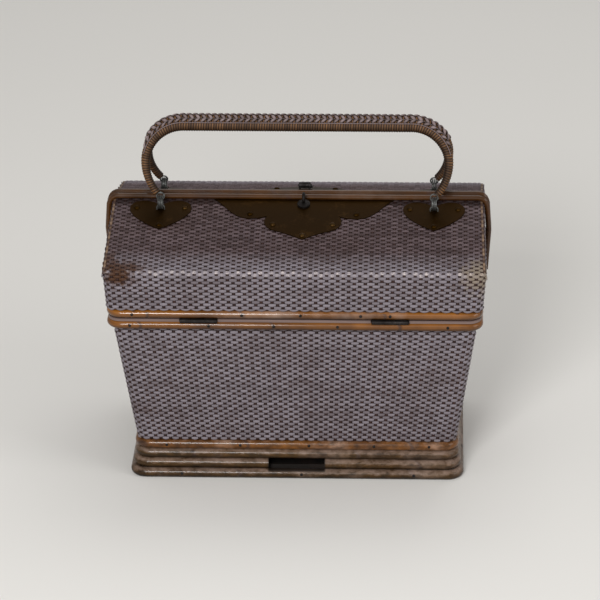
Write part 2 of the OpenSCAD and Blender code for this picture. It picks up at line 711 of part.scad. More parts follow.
// Plaited band along the top of the grip: raised chevrons on a thin strap
module handle_braid() {
    len_s = s_bend + (s_leg - s_bend) * 0.85;
    steps = 2 * round(len_s / braid_step);
    arc = [-58, -30, 0, 30, 58];
    function strap(s, a, r) = let (p = grip(s))
        [p[0][0] + p[1][0] * r * cos(a), r * sin(a), p[0][1] + p[1][1] * r * cos(a)];
    rings = [for (i = [-steps : steps])
        let (s = i / steps * len_s)
        concat(
            [for (a = arc)
                let (v = s + (i == -steps || i == steps ? 0 : braid_step * 0.6 * (abs(a) / 58 - 0.5)),
                     edge = abs(a) == 58 ? 0.35 : a == 0 ? 0.7 : 1)
                strap(v, a, grip_r(v) / cos(15) + (i % 2 == 0 ? 0.45 : 1.2) * edge + 0.1)],
            [for (k = [4 : -1 : 0])
                let (a = arc[k],
                     v = s + (i == -steps || i == steps ? 0 : braid_step * 0.6 * (abs(a) / 58 - 0.5)))
                strap(v, a, grip_r(v) / cos(15) + 2 * seat)])];
    color(cane) lean() skin_closed(rings);
}

// Wire eye on each handle end, round the top of its ring
module handle_eyes() {
    color(iron) lean() for (x = [-ring_x, ring_x]) translate([x, 0, ring_r]) rotate([90, 0, 0])
        rotate_extrude() translate([loop_r, 0]) circle(d = wire_d, $fn = 24);
}

// Ring of three turns of wire
module handle_rings() {
    color(iron) lean() for (x = [-ring_x, ring_x], k = [-1.45, 0, 1.45]) translate([x + k, 0, 0])
        rotate([0, 90, 0]) rotate_extrude() translate([ring_r, 0]) circle(d = wire_d, $fn = 24);
}

module front_handle_core() { handle_core(); }
module front_handle_braid() { handle_braid(); }
module front_handle_eyes() { handle_eyes(); }
module front_handle_rings() { handle_rings(); }
module rear_handle_core() { at_rear() handle_core(); }
module rear_handle_braid() { at_rear() handle_braid(); }
module rear_handle_eyes() { at_rear() handle_eyes(); }
module rear_handle_rings() { at_rear() handle_rings(); }

body_weave();
body_rim_rod();
body_inner_rod();
rim_strip();
plinth_band();
plinth_top_rod();
plinth_upper_rod();
plinth_slot_rod();
plinth_foot_rod();
front_left_hinge_body_leaf();
front_left_hinge_lid_leaf();
front_left_hinge_pin();
front_right_hinge_body_leaf();
front_right_hinge_lid_leaf();
front_right_hinge_pin();
rear_left_hinge_body_leaf();
rear_left_hinge_lid_leaf();
rear_left_hinge_pin();
rear_right_hinge_body_leaf();
rear_right_hinge_lid_leaf();
rear_right_hinge_pin();
front_lid_wall_weave();
front_lid_roof_weave();
front_lid_rim_rod();
front_lid_edge_rod();
front_lid_inner_rod();
front_left_heart();
front_right_heart();
front_lock_plate();
front_plate_nails();
front_handle_staples();
front_lock_staple();
rear_lid_wall_weave();
rear_lid_roof_weave();
rear_lid_rim_rod();
rear_lid_edge_rod();
rear_lid_inner_rod();
rear_left_heart();
rear_right_heart();
rear_lock_plate();
rear_plate_nails();
rear_handle_staples();
hasp_bracket();
hasp_pin();
hasp_leaf();
front_handle_core();
front_handle_braid();
front_handle_eyes();
front_handle_rings();
rear_handle_core();
rear_handle_braid();
rear_handle_eyes();
rear_handle_rings();
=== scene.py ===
"""Woven cane handbag: weaves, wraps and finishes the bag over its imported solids."""

import functools
import math

import bpy
import numpy as np
from mathutils import Matrix, Vector


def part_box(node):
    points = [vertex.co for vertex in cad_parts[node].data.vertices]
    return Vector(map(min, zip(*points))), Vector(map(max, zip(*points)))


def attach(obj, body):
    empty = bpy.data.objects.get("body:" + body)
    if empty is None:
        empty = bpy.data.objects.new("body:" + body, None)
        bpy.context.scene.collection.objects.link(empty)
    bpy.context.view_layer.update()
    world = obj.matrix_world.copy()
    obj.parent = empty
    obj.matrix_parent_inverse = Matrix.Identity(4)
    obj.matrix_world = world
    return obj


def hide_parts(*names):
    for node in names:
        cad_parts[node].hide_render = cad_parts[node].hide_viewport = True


bl_info = {
    "name": "Woven cane handbag",
    "version": (1, 0, 0),
    "blender": (4, 5, 0),
    "location": "View3D > Sidebar > Handbag",
    "description": "Weaves, wraps and finishes a cane handbag over its packed solids",
    "category": "Object",
}

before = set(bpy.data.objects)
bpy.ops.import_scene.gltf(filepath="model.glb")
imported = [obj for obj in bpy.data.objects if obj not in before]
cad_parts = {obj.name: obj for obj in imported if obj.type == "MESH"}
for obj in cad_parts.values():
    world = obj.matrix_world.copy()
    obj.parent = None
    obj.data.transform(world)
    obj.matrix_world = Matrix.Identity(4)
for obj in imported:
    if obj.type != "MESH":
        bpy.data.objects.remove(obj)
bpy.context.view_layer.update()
RIM_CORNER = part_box("body_rim_rod")[1]

MM = 0.001
QUARTER = math.pi / 2
TO_RIGHT = np.array([1.0, 0.0, 0.0])
SIDES = ("front", "rear")
FACING = {"front": -1, "rear": 1}

BODY_SEED = 11
LID_SEEDS = {"front": 21, "rear": 34}
WRAP_SEEDS = {"front": 5, "rear": 6}
PLAIT_SEEDS = {"front": 8, "rear": 9}


# Properties


def linear(red, green, blue):
    """Linear colour of a colour written in 0 to 255 steps."""
    out = []
    for value in (red, green, blue):
        c = value / 255
        out.append(c / 12.92 if c <= 0.04045 else ((c + 0.055) / 1.055) ** 2.4)
    return tuple(out)


def number(title, text, value, **limits):
    """A number property."""
    return bpy.props.FloatProperty(name=title, description=text, default=value, **limits)


def length(title, text, value):
    """A length property whose default is given in millimetres."""
    return number(title, text, value * MM, unit="LENGTH", precision=5)


def degrees(title, text, value):
    """An angle property whose default is given in degrees."""
    return number(title, text, math.radians(value), subtype="ANGLE")


def whole(title, text, value, least):
    """A whole number property."""
    return bpy.props.IntProperty(name=title, description=text, default=value, min=least)


def colour(title, text, *steps):
    """A colour property whose default is given in 0 to 255 steps."""
    return bpy.props.FloatVectorProperty(
        name=title, description=text, default=linear(*steps), subtype="COLOR", size=3, min=0.0, max=1.0
    )


class HandbagShape(bpy.types.PropertyGroup):
    """Main sizes of the woven shells, as the solids have them."""

    rim_hx: length("Rim half width", "Half the width across the rim rod", RIM_CORNER[0] / MM)
    rim_hy: length("Rim half depth", "Half the depth across the rim rod", RIM_CORNER[1] / MM)
    ridge_hx: length("Ridge half width", "Half the width across the lid's ridge", 150.0)
    ridge_hy: length("Ridge half depth", "Half the depth across the lid's ridge", 95.0)
    corner_r: length("Corner radius", "Radius of the shells' corners in plan", 8.0)
    taper: length("Taper", "How far the body draws in at its foot", 19.6)
    bulge_in: length("Bulge inset", "Inset of the body where it is widest", 5.168)
    neck_in: length("Neck inset", "Inset of the weave behind the rim rods", 6.82)
    body_z: length("Body foot", "Height at which the woven body starts", 31.58)
    bulge_z: length("Bulge height", "Height at which the body is widest", 131.74)
    neck_z: length("Neck height", "Height at which the body's neck starts", 137.52)
    mouth_z: length("Mouth height", "Top of the woven body", 143.96)
    lid_z: length("Lid foot", "Height at which the half lids' weave starts", 146.62)
    lid_neck_z: length("Lid neck", "Height at which the lid leaves its neck", 153.06)
    lid_wall_z: length("Lid wall", "Height at which the lid's wall starts", 154.22)
    ridge_z: length("Ridge height", "Height of the ridge between wall and roof", 187.50)
    top_z: length("Top height", "Height of the roof in the middle plane", 213.50)
    gable_top_hx: length("Gable half width", "Half the width at the top of the gable", 148.2)
    lid_gap: length("Lid gap", "Gap between a half lid and the middle plane", 0.9)
    shell_t: length("Shell thickness", "Thickness of the woven shells", 3.0)


class HandbagWeave(bpy.types.PropertyGroup):
    """Sizes of the weave itself."""

    row_pitch: length("Row pitch", "Height of one row of weaving", 2.42)
    wave: length("Wave", "How far a weaver swings in and out round the stakes", 0.42)
    belly: length("Belly", "How far a weaver's edges fall away from its crest", 0.62)
    stake_w: length("Stake width", "Width of a stake", 2.7)
    stake_sink: length("Stake sink", "How far a showing stake lies below the crests", 0.30)
    lining_sink: length("Lining sink", "How far the lining lies below the crests", 1.30)
    ridge_r: length("Ridge rounding", "Radius of the ridge between wall and roof", 4.0)
    unevenness: length("Unevenness", "How far a row wanders from its true line", 0.13)
    body_front: whole("Body stakes", "Stakes across the body's front", 62, 8)
    body_end: whole("Body end stakes", "Stakes across the body's end", 36, 8)
    lid_front: whole("Lid stakes", "Stakes across a half lid's front", 66, 8)
    lid_end: whole("Lid end stakes", "Stakes across a half lid's end", 20, 4)
    corner: whole("Corner stakes", "Stakes round a corner", 3, 1)


class HandbagHandle(bpy.types.PropertyGroup):
    """Sizes of the handles, as the solids have them, and of their wrapping."""

    ring_x: length("Ring place", "Distance of a ring from the middle", 108.5)
    ring_y: length("Ring depth", "Distance of the ring's axis from the middle plane", 19.0)
    ring_z: length("Ring height", "Height of the ring's axis", 215.163)
    half_w: length("Half width", "Half the handle's width on its centreline", 120.0)
    height: length("Height", "Height of the grip above the ring's axis", 62.0)
    bend: length("Bend", "Bend radius of the grip", 30.0)
    ring_r: length("Ring radius", "Radius of the ring's wire", 4.9)
    eye_out: length("Eye reach", "Distance of the handle's end from the middle of its eye", 3.57)
    grip_d: length("Grip diameter", "Diameter of the grip", 9.7)
    end_d: length("End diameter", "Diameter of the handle's ends", 6.4)
    lean: degrees("Lean", "Lean towards the other handle", 12.624)
    wrap_pitch: length("Wrap pitch", "Width of one turn of the wrapping", 2.0)
    wrap_depth: length("Wrap depth", "Depth of the groove between turns", 0.55)
    stitch_pitch: length("Stitch pitch", "Distance between stitches of the plait", 5.0)
    stitch_w: length("Stitch width", "Width of one stitch of the plait", 3.0)
    stitch_h: length("Stitch height", "Height of one stitch of the plait", 0.85)


class HandbagColours(bpy.types.PropertyGroup):
    """Colours of the cane and the metal."""

    weaver_light: colour("Weaver, light", "Pale face of the weavers", 127, 120, 127)
    # Darker weavers, and also the painted shade at the weavers' edges and where they go behind the stakes.
    weaver_dark_and_shade: colour("Weaver, dark", "Darker weavers and their edges", 66, 54, 55)
    # Painted highlight: near-white glints on the crests of the ridge rows.
    weaver_glint: colour("Weaver, worn", "Weavers rubbed pale along the ridge", 212, 200, 196)
    stake: colour("Stake", "Dark stakes between the weavers", 42, 24, 20)
    lining_light: colour("Lining, light", "Inside of the weave, light", 142, 116, 92)
    lining_dark: colour("Lining, dark", "Inside of the weave, dark", 66, 45, 34)
    rod_light: colour("Rod, light", "Polished skin of the rods", 152, 95, 32)
    rod_dark: colour("Rod, dark", "Darker streaks of the rods", 52, 26, 6)
    plinth_light: colour("Plinth, light", "Skin of the lower plinth rods", 106, 72, 24)
    plinth_dark: colour("Plinth, dark", "Darker streaks of the lower plinth rods", 50, 33, 11)
    edge_light: colour("Edge, light", "Skin of the rods along the meeting edges", 92, 55, 16)
    edge_dark: colour("Edge, dark", "Darker streaks of the rods along the meeting edges", 26, 12, 3)
    # Dull grey that the plinth rods turn to on their tops.
    rod_dull: colour("Rod, dull", "Weathered tops of the plinth rods", 128, 110, 101)
    rod_worn: colour("Rod, worn", "Rods rubbed pale", 192, 166, 150)
    band: colour("Band", "Bamboo band inside the plinth", 24, 17, 11)
    strip: colour("Strip", "Flat cane strip between the rim rods", 126, 104, 98)
    wrap_light: colour("Wrap, light", "Worn top of the handles' wrapping", 118, 84, 54)
    # Dark end of the wrapping, which also gives the painted shade in its grooves and on its underside.
    wrap_dark_and_shade: colour("Wrap, dark", "Dark underside of the handles' wrapping", 26, 15, 8)
    # Pale crests and dark edges of the plait; the dark edges are painted shade.
    plait_light: colour("Plait, light", "Worn crests of the plait", 144, 127, 127)
    plait_dark_and_shade: colour("Plait, dark", "Dark edges of the plait", 36, 23, 18)
    stain: colour("Stain", "Brown stains of use", 62, 40, 30)
    scuff: colour("Scuff", "Bare brown cane where the lid's corner is scuffed", 64, 36, 15)
    brass: colour("Brass", "Brass where it is worn bright", 70, 46, 11)
    tarnish: colour("Tarnish", "Brass where it has darkened", 46, 29, 5)
    nail: colour("Nail", "Heads of the brass nails", 92, 70, 42)
    wire: colour("Wire", "Wire of rings, eyes and staples", 112, 114, 112)
    iron: colour("Iron", "Iron where it is worn", 66, 62, 62)
    rust: colour("Rust", "Iron where it has darkened", 24, 20, 18)


class HandbagStage(bpy.types.PropertyGroup):
    """Floor, light and camera."""

    floor: colour("Floor", "Colour of the floor", 226, 224, 220)
    key_power: number("Key light", "Power of the main soft light", 46.0, min=0.0, unit="POWER")
    fill_power: number("Fill light", "Power of the side light", 12.0, min=0.0, unit="POWER")
    sky: number("Sky", "Strength of the even light from all round", 0.45, min=0.0)
    lens: number("Lens", "Focal length in millimetres", 200.7, min=10.0)
    distance: length("Distance", "Distance of the camera from its target", 2706.2)
    target_x: length("Target place", "Sideways place of the camera's target", 0.73)
    target_z: length("Target height", "Height of the camera's target", 122.3)
    azimuth: degrees("Azimuth", "Camera's angle round the bag", 2.519)
    elevation: degrees("Elevation", "Camera's angle above the floor", 24.299)
    roll: degrees("Roll", "Camera's turn about its own axis", 0.575)


def measures():
    """Sizes of the shells and of the weave."""
    return bpy.context.scene.handbag_shape, bpy.context.scene.handbag_weave


# Gathering of meshes


class Parts:
    """Points, faces and point values gathered for one piece."""

    def __init__(self):
        self.points = []
        self.quads = []
        self.caps = []
        self.values = {}
        self.count = 0

    def add_points(self, points, values):
        """Keeps a grid of points with its point values and returns the grid of their numbers."""
        shape = points.shape[:-1]
        size = int(np.prod(shape))
        self.points.append(points.reshape(-1, 3))
        for name, value in values.items():
            self.values.setdefault(name, []).append(np.broadcast_to(value, shape).reshape(-1))
        numbers = self.count + np.arange(size).reshape(shape)
        self.count += size
        return numbers

    def tube(self, rings, closed=False, **values):
        """Adds a tube through rings of points; its ends are capped unless it closes on itself."""
        numbers = self.add_points(rings, values)
        rows = np.vstack([numbers, numbers[:1]]) if closed else numbers
        low, high = rows[:-1], rows[1:]
        quads = np.stack([low, np.roll(low, -1, 1), np.roll(high, -1, 1), high], -1)
        self.quads.append(quads.reshape(-1, 4))
        if not closed:
            self.caps.append(numbers[0][::-1])
            self.caps.append(numbers[-1])

    def slab(self, outer, inner, **values):
        """Adds a closed sheet with an outer and an inner skin, given as grids of points."""
        top = self.add_points(outer, values)
        low = self.add_points(inner, values)
        skin = np.stack([top[:-1, :-1], top[1:, :-1], top[1:, 1:], top[:-1, 1:]], -1)
        back = np.stack([low[:-1, :-1], low[:-1, 1:], low[1:, 1:], low[1:, :-1]], -1)
        edges = []
        for grid in (top, low):
            edges.append(np.concatenate([grid[0, :-1], grid[:-1, -1], grid[-1, :0:-1], grid[:0:-1, 0]]))
        wall = np.stack([edges[0], np.roll(edges[0], -1), np.roll(edges[1], -1), edges[1]], -1)
        self.quads += [skin.reshape(-1, 4), back.reshape(-1, 4), wall]

    def build(self, name):
        """Makes the piece and returns its object."""
        points = np.concatenate(self.points).astype(np.float32)
        quads = np.concatenate(self.quads)
        loops = np.concatenate([quads.ravel()] + self.caps).astype(np.int32)
        corners = np.concatenate([np.full(len(quads), 4), np.array([len(c) for c in self.caps], int)])
        starts = (np.cumsum(corners) - corners).astype(np.int32)
        mesh = bpy.data.meshes.new(name)
        mesh.vertices.add(len(points))
        mesh.vertices.foreach_set("co", points.ravel())
        mesh.loops.add(len(loops))
        mesh.loops.foreach_set("vertex_index", loops)
        mesh.polygons.add(len(corners))
        mesh.polygons.foreach_set("loop_start", starts)
        mesh.polygons.foreach_set("use_smooth", np.ones(len(corners), bool))
        mesh.update(calc_edges=True)
        mesh.validate()
        for key, value in self.values.items():
            attribute = mesh.attributes.new(key, "FLOAT", "POINT")
            attribute.data.foreach_set("value", np.concatenate(value).astype(np.float32))
        piece = bpy.data.objects.new(name, mesh)
        bpy.context.scene.collection.objects.link(piece)
        return piece


def finish_piece(piece, body, slot, material, *nodes):
    """Gives a piece its finish and its body, and hides the solids of the nodes that it stands for. The slot
    is not used.
    """
    piece.data.materials.clear()
    piece.data.materials.append(material)
    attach(piece, body)
    if nodes:
        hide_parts(*nodes)


def mix(a, b, t):
    """Value at share t of the way from a to b."""
    return a + (b - a) * t


def turned(points, side):
    """Points of the front half, turned about the upright axis for the rear half."""
    return points if side == "front" else points * np.array([-1.0, -1.0, 1.0])


# Weave

POINTS_PER_STAKE = 3
WANDER_SLOW = 0.121
WANDER_FAST = 0.302
WAVES_ROUND = 3
WEAVER_PLACE = np.array([-1.0, -0.66, 0.0, 0.66, 1.0])
WEAVER_FALL = np.array([-1.0, -0.20, 0.0, -0.20, -1.0])
WEAVER_LOOSE = 0.035 * MM
WEAVER_WIDTH = 1.02
WEAVER_SWELL = 0.26
STAKE_PLACE = np.array([-0.5, 0.0, 0.5])
STAKE_FALL = np.array([-0.22, 0.0, -0.22]) * MM
STAKE_SWING = 0.8
STAKE_PATCH = 4
DRIFT_POINTS = 12
TOP_ROW_GAP = 1.5 * MM
NECK_LEAD = 3.0 * MM
BODY_RINGS = 22
FLOOR_POINTS = (41, 27)
FLOOR_SAG = 0.6 * MM
FLOOR_SEAT = 0.1 * MM
INSIDE_STAKE = 4.3 * MM
INSIDE_ROW = 2.6 * MM
GABLE_BEND = 5.0 * MM
GABLE_TURN = math.radians(82)
GABLE_SINK = 0.25 * MM
GABLE_ROW_GAP = 4.0 * MM
GABLE_STAKE_GAP = 2.5 * MM
SECTION_STEP = 0.8 * MM
RIDGE_POINTS = 9
RIDGE_LEAD = 3.0 * MM
WALL_RINGS = 14
ROOF_RINGS = 24
ROOF_PAST = 1.7
ROOF_FLAT = 20.0 * MM
GABLE_POINTS = (21, 12)
GABLE_RISE = (-0.06, 0.97)
GABLE_CUT = 0.03
GABLE_EDGE_GAP = 2.0 * MM
GABLE_LEAST = 1.2 * MM
ROOF_END_STAKES = 3
PLAIN = (1.0, 0.0)
# Tints of the ridge rows, whose raised tone gives the painted glints along the ridge.
GLINT_BELOW = (0.5, 0.85)
GLINT_ABOVE = (0.5, 1.05)
# Tint of the last roof rows, which are darkened as painted shade under the meeting rods.
PAINTED_SHADE = (0.3, -0.4)
PAINTED_SHADE_ROWS = 4


def stack3(x, y, z):
    """Three coordinates as one array of points."""
    return np.stack(np.broadcast_arrays(x, y, z), -1).astype(float)


def leaning(angle, tilt):
    """Outward direction for a direction in plan and the tilt of the wall above level."""
    return stack3(np.cos(angle) * np.cos(tilt), np.sin(angle) * np.cos(tilt), np.sin(tilt))


def rising(angle, tilt):
    """Direction up the wall for a direction in plan and the tilt of the wall above level."""
    return stack3(-np.cos(angle) * np.sin(tilt), -np.sin(angle) * np.sin(tilt), np.cos(tilt))


def level(angle):
    """Level direction along the wall for a direction in plan."""
    return stack3(-np.sin(angle), np.cos(angle), 0.0)


def body_inset(z):
    """Inset of the woven body from the rim's half sizes at a height."""
    s, _ = measures()
    heights = [s.body_z, s.bulge_z, s.neck_z, s.mouth_z]
    return np.interp(z, heights, [s.taper, s.bulge_in, s.neck_in, s.neck_in])


def body_ring(q, z, sink=0.0):
    """Place and outward angle round the body for a stake number, which starts at the front left."""
    s, w = measures()
    inset = body_inset(z) + sink
    hx, hy, r = s.rim_hx - inset, s.rim_hy - inset, s.corner_r - sink
    zones, xs, ys, angles = [], [], [], []
    start = 0.0
    for k in range(4):
        face = (k - 1) * QUARTER
        across = k % 2 == 0
        count = w.body_front if across else w.body_end
        off = hy if across else hx
        run = (hx if across else hy) - r
        n = (round(math.cos(face)), round(math.sin(face)))
        d = (-n[1], n[0])
        u = -run + 2 * run * (q - start) / count
        zones.append((q >= start) & (q < start + count))
        xs.append(n[0] * off + d[0] * u)
        ys.append(n[1] * off + d[1] * u)
        angles.append(np.full_like(q, face))
        start += count
        turn = face + (q - start) / w.corner * QUARTER
        zones.append((q >= start) & (q < start + w.corner))
        xs.append(n[0] * (off - r) + d[0] * run + r * np.cos(turn))
        ys.append(n[1] * (off - r) + d[1] * run + r * np.sin(turn))
        angles.append(turn)
        start += w.corner
    return np.select(zones, xs), np.select(zones, ys), np.select(zones, angles)


def strip(parts, centre, along, out, place, lift, closed, **values):
    """Adds one strip of cane along a line; its rings spread across by place and stand out by lift."""
    across = np.cross(along, out)
    across /= np.linalg.norm(across, axis=-1, keepdims=True)
    spread = across[:, None, :] * place[:, :, None]
    parts.tube(centre[:, None, :] + spread + out[:, None, :] * lift[:, :, None], closed, **values)


def weaver(parts, centre, along, out, q, row, rng, closed=False, tint=PLAIN):
    """Adds one weaver, which goes over and behind the stakes by turns, with a tone for each pillow."""
    _, w = measures()
    swing = np.cos(math.pi * (q + row))
    # The tint raises the tone of the ridge rows for painted glints and lowers it in the last roof rows for
    # painted shade.
    tone = pillow_tones(q, row, rng) * tint[0] + tint[1]
    lift = w.wave * (swing - 1) + rng.normal(0, WEAVER_LOOSE, len(swing))
    half = w.row_pitch * 0.5 * (WEAVER_WIDTH + WEAVER_SWELL * swing)
    place = half[:, None] * WEAVER_PLACE
    # over and edge guide the painted shade: darker where the weaver goes behind a stake and towards its
    # edges.
    values = {"over": (swing * 0.5 + 0.5)[:, None], "edge": np.abs(WEAVER_PLACE), "tone": tone[:, None]}
    strip(parts, centre, along, out, place, lift[:, None] + w.belly * WEAVER_FALL, closed, **values)


def stake(parts, centre, along, out, swing, rng):
    """Adds one stake, whose swing is 1 where it shows, with a tone for each place where it shows."""
    _, w = measures()
    count = len(swing)
    shows = rng.uniform(0, 1, count // STAKE_PATCH + 1)[np.arange(count) // STAKE_PATCH]
    tone = 0.3 * rng.uniform() + 0.7 * shows
    lift = -w.stake_sink + w.wave * STAKE_SWING * (swing - 1)
    place = STAKE_PLACE[None, :] * w.stake_w
    values = {"over": (swing * 0.5 + 0.5)[:, None], "edge": 2 * np.abs(STAKE_PLACE), "tone": tone[:, None]}
    strip(parts, centre, along, out, place, lift[:, None] + STAKE_FALL, False, **values)


def showing(k, steps):
    """Swing of a stake at half rows: 1 where it shows and -1 where a weaver covers it."""
    return -np.cos(math.pi * (k + steps * 0.5 - 0.5))


def pillow_tones(q, row, rng):
    """A tone for each pillow of a weaver, with a slow drift along the row."""
    count = int(q.max()) + 4
    tones = rng.uniform(0, 1, count)
    spots = np.linspace(0, count, DRIFT_POINTS)
    drift = np.interp(np.arange(count), spots, rng.uniform(0, 1, DRIFT_POINTS))
    tones = 0.6 * tones + 0.4 * drift
    index = np.round((q - row % 2) / 2).astype(int) + 1
    return tones[np.clip(index, 0, count - 1)]


def wander(q, rng):
    """Slow wander of a row from its true line, on -1 to 1."""
    a, b = rng.uniform(0, 2 * math.pi, 2)
    return 0.6 * np.sin(q * WANDER_SLOW + a) + 0.4 * np.sin(q * WANDER_FAST + b)


class HANDBAG_OT_weave_body(bpy.types.Operator):
    """Weaves the body: weavers round the stakes, over a lining with the floor"""

    bl_idname = "handbag.weave_body"
    bl_label = "Weave the body"

    def execute(self, context):
        s, w = measures()
        rng = np.random.default_rng(BODY_SEED)
        total = 2 * (w.body_front + w.body_end) + 4 * w.corner
        lean = math.atan((s.taper - s.bulge_in) / (s.bulge_z - s.body_z))
        pitch = w.row_pitch * math.cos(lean)
        rows = int((s.mouth_z - TOP_ROW_GAP - s.body_z) / pitch)
        heights = s.body_z + (np.arange(rows) + 0.5) * pitch
        tilts = np.arctan(np.gradient(body_inset(heights), heights))
        q = np.arange(total * POINTS_PER_STAKE) / POINTS_PER_STAKE
        closing = q * (2 * math.pi / WANDER_SLOW / total) * WAVES_ROUND
        lower, upper, stakes = Parts(), Parts(), Parts()
        for row, z in enumerate(heights):
            x, y, angle = body_ring(q, z)
            line = z + w.unevenness * wander(closing, rng)
            part = lower if row < rows // 2 else upper
            out = leaning(angle, tilts[row])
            weaver(part, stack3(x, y, line), level(angle), out, q, row, rng, True)

        steps = np.arange(2 * rows + 1)
        z = s.body_z + steps * 0.5 * pitch
        tilt = np.arctan(np.gradient(body_inset(z), z))
        for k in range(total):
            x, y, angle = body_ring(np.full(len(z), float(k)), z)
            out = leaning(angle, tilt)
            stake(stakes, stack3(x, y, z), rising(angle, tilt), out, showing(k, steps), rng)

        for parts, name, cane in (
            (lower, "body_weavers_lower", weaver_cane("Weaver cane")),
            (upper, "body_weavers_upper", weaver_cane("Weaver cane")),
            (stakes, "body_stakes", stake_cane("Stake cane")),
            (self.lining(total), "body_lining", lining_cane("Lining cane")),
            (self.floor(), "body_floor", lining_cane("Lining cane")),
        ):
            finish_piece(parts.build(name), "basket", "cane_weave", cane, "body_weave")
        return {"FINISHED"}

    def lining(self, total):
        """Makes the inside wall under the weave, as a tube round the mouth."""
        s, w = measures()
        q = np.arange(float(total))
        neck = [s.neck_z - NECK_LEAD, s.neck_z, s.mouth_z]
        up = np.concatenate([np.linspace(s.body_z, s.bulge_z, BODY_RINGS), neck])
        rings = []
        for heights, sink in ((up, w.lining_sink), (up[::-1], s.shell_t)):
            for z in heights:
                x, y, _ = body_ring(q, z, sink)
                rings.append(stack3(x, y, z))
        rows = (up - s.body_z) / w.row_pitch
        wall = Parts()
        around = np.stack(rings[::-1], 1)
        wall.tube(around, True, stake=q[:, None], row=np.concatenate([rows, rows[::-1]]))
        return wall

    def floor(self):
        """Makes the floor, which sags a little."""
        s, _ = measures()
        inset = s.taper + s.shell_t - FLOOR_SAG
        u = np.linspace(-1, 1, FLOOR_POINTS[0])[:, None]
        v = np.linspace(-1, 1, FLOOR_POINTS[1])[None, :]
        x = (s.rim_hx - inset) * u
        y = (s.rim_hy - inset) * v
        sag = FLOOR_SAG * np.cos(u * QUARTER) * np.cos(v * QUARTER)
        top = stack3(x, y, s.body_z + s.shell_t - sag)
        low = stack3(x, y, s.body_z + FLOOR_SEAT)
        floor = Parts()
        floor.slab(top, low, stake=x / INSIDE_STAKE, row=y / INSIDE_ROW)
        return floor


class LidSection:
    """Section of a half lid from its neck to the meeting edge, as a line with a rounded ridge."""

    def __init__(self):
        s, w = measures()
        neck = s.rim_hy - s.neck_in
        line = [(neck, s.lid_z), (neck, s.lid_neck_z), (s.rim_hy, s.lid_wall_z)]
        wall = math.atan2(s.ridge_z - s.lid_wall_z, s.rim_hy - s.ridge_hy)
        roof = math.atan2(s.top_z - s.ridge_z, s.ridge_hy)
        reach = w.ridge_r * math.tan((wall - roof) / 2)
        first = (s.ridge_hy + reach * math.cos(wall), s.ridge_z - reach * math.sin(wall))
        centre = (first[0] - w.ridge_r * math.sin(wall), first[1] - w.ridge_r * math.cos(wall))
        for t in np.linspace(0, 1, RIDGE_POINTS):
            a = mix(wall, roof, t)
            line.append((centre[0] + w.ridge_r * math.sin(a), centre[1] + w.ridge_r * math.cos(a)))
        crest = np.array(line[-1 - RIDGE_POINTS // 2])
        line.append((s.lid_gap, s.top_z - s.lid_gap * math.tan(roof)))
        fine = []
        for (y0, z0), (y1, z1) in zip(line[:-1], line[1:]):
            count = max(1, int(math.hypot(y1 - y0, z1 - z0) / SECTION_STEP))
            fine += [(mix(y0, y1, i / count), mix(z0, z1, i / count)) for i in range(count)]
        fine.append(line[-1])
        fine = np.array(fine)
        self.run = np.concatenate([[0], np.cumsum(np.hypot(*np.diff(fine, axis=0).T))])
        self.depth, self.height = fine.T
        self.slope = np.arctan2(np.gradient(self.height, self.run), -np.gradient(self.depth, self.run))
        self.ridge = self.run[np.argmin(np.hypot(*(fine - crest).T))]
        self.end = self.run[-1]
        self.wall_rows = int(self.ridge / w.row_pitch)
        self.roof_rows = int((self.end - self.ridge) / w.row_pitch)

    def at(self, run, sink=0.0):
        """Half depth, height and slope at a length along the section, sunk below the surface."""
        depth, height, slope = (np.interp(run, self.run, v) for v in (self.depth, self.height, self.slope))
        return depth - sink * np.sin(slope), height - sink * np.cos(slope), slope


def lid_plan(q, hx, hy, r):
    """Place and outward angle round a half lid for a stake number, from the left meeting edge on."""
    s, w = measures()
    gap = s.lid_gap
    a = w.lid_end
    b = a + w.corner
    c = b + w.lid_front
    d = c + w.corner
    turn_left = math.pi + (q - a) / w.corner * QUARTER
    turn_right = 3 * QUARTER + (q - c) / w.corner * QUARTER
    zones = [q < a, q < b, q < c, q < d]
    xs = [
        -hx + 0 * q,
        -(hx - r) + r * np.cos(turn_left),
        -(hx - r) + 2 * (hx - r) * (q - b) / w.lid_front,
        hx - r + r * np.cos(turn_right),
    ]
    ys = [
        -(gap + (hy - r - gap) * q / a),
        -(hy - r) + r * np.sin(turn_left),
        -hy + 0 * q,
        -(hy - r) + r * np.sin(turn_right),
    ]
    angles = [math.pi + 0 * q, turn_left, 3 * QUARTER + 0 * q, turn_right]
    last_y = -(hy - r) + (hy - r - gap) * (q - d) / a
    return np.select(zones, xs, hx), np.select(zones, ys, last_y), np.select(zones, angles, 2 * math.pi)


def gable_hx(z):
    """Half width across the gable ends at a height."""
    s, _ = measures()
    share = np.clip((z - s.ridge_z) / (s.top_z - s.ridge_z), 0, 1)
    return mix(s.ridge_hx, s.gable_top_hx, share)


def roof_row(q, hx):
    """Sideways place, drop and turn of a roof row, whose ends bend down over the gable."""
    s, w = measures()
    middle = w.lid_end + w.corner + w.lid_front / 2
    u = np.abs(q - middle) * (2 * (s.ridge_hx - s.corner_r) / w.lid_front)
    sign = np.sign(q - middle)
    past = u - (hx - GABLE_BEND)
    over = np.clip(past / GABLE_BEND, 0, GABLE_TURN)
    rest = np.maximum(past - GABLE_BEND * GABLE_TURN, 0)
    x = np.where(over > 0, hx - GABLE_BEND + GABLE_BEND * np.sin(over), u) + rest * np.cos(over)
    drop = np.where(over > 0, GABLE_BEND - GABLE_BEND * np.cos(over), 0) + rest * np.sin(over)
    return sign * x, drop, sign * over


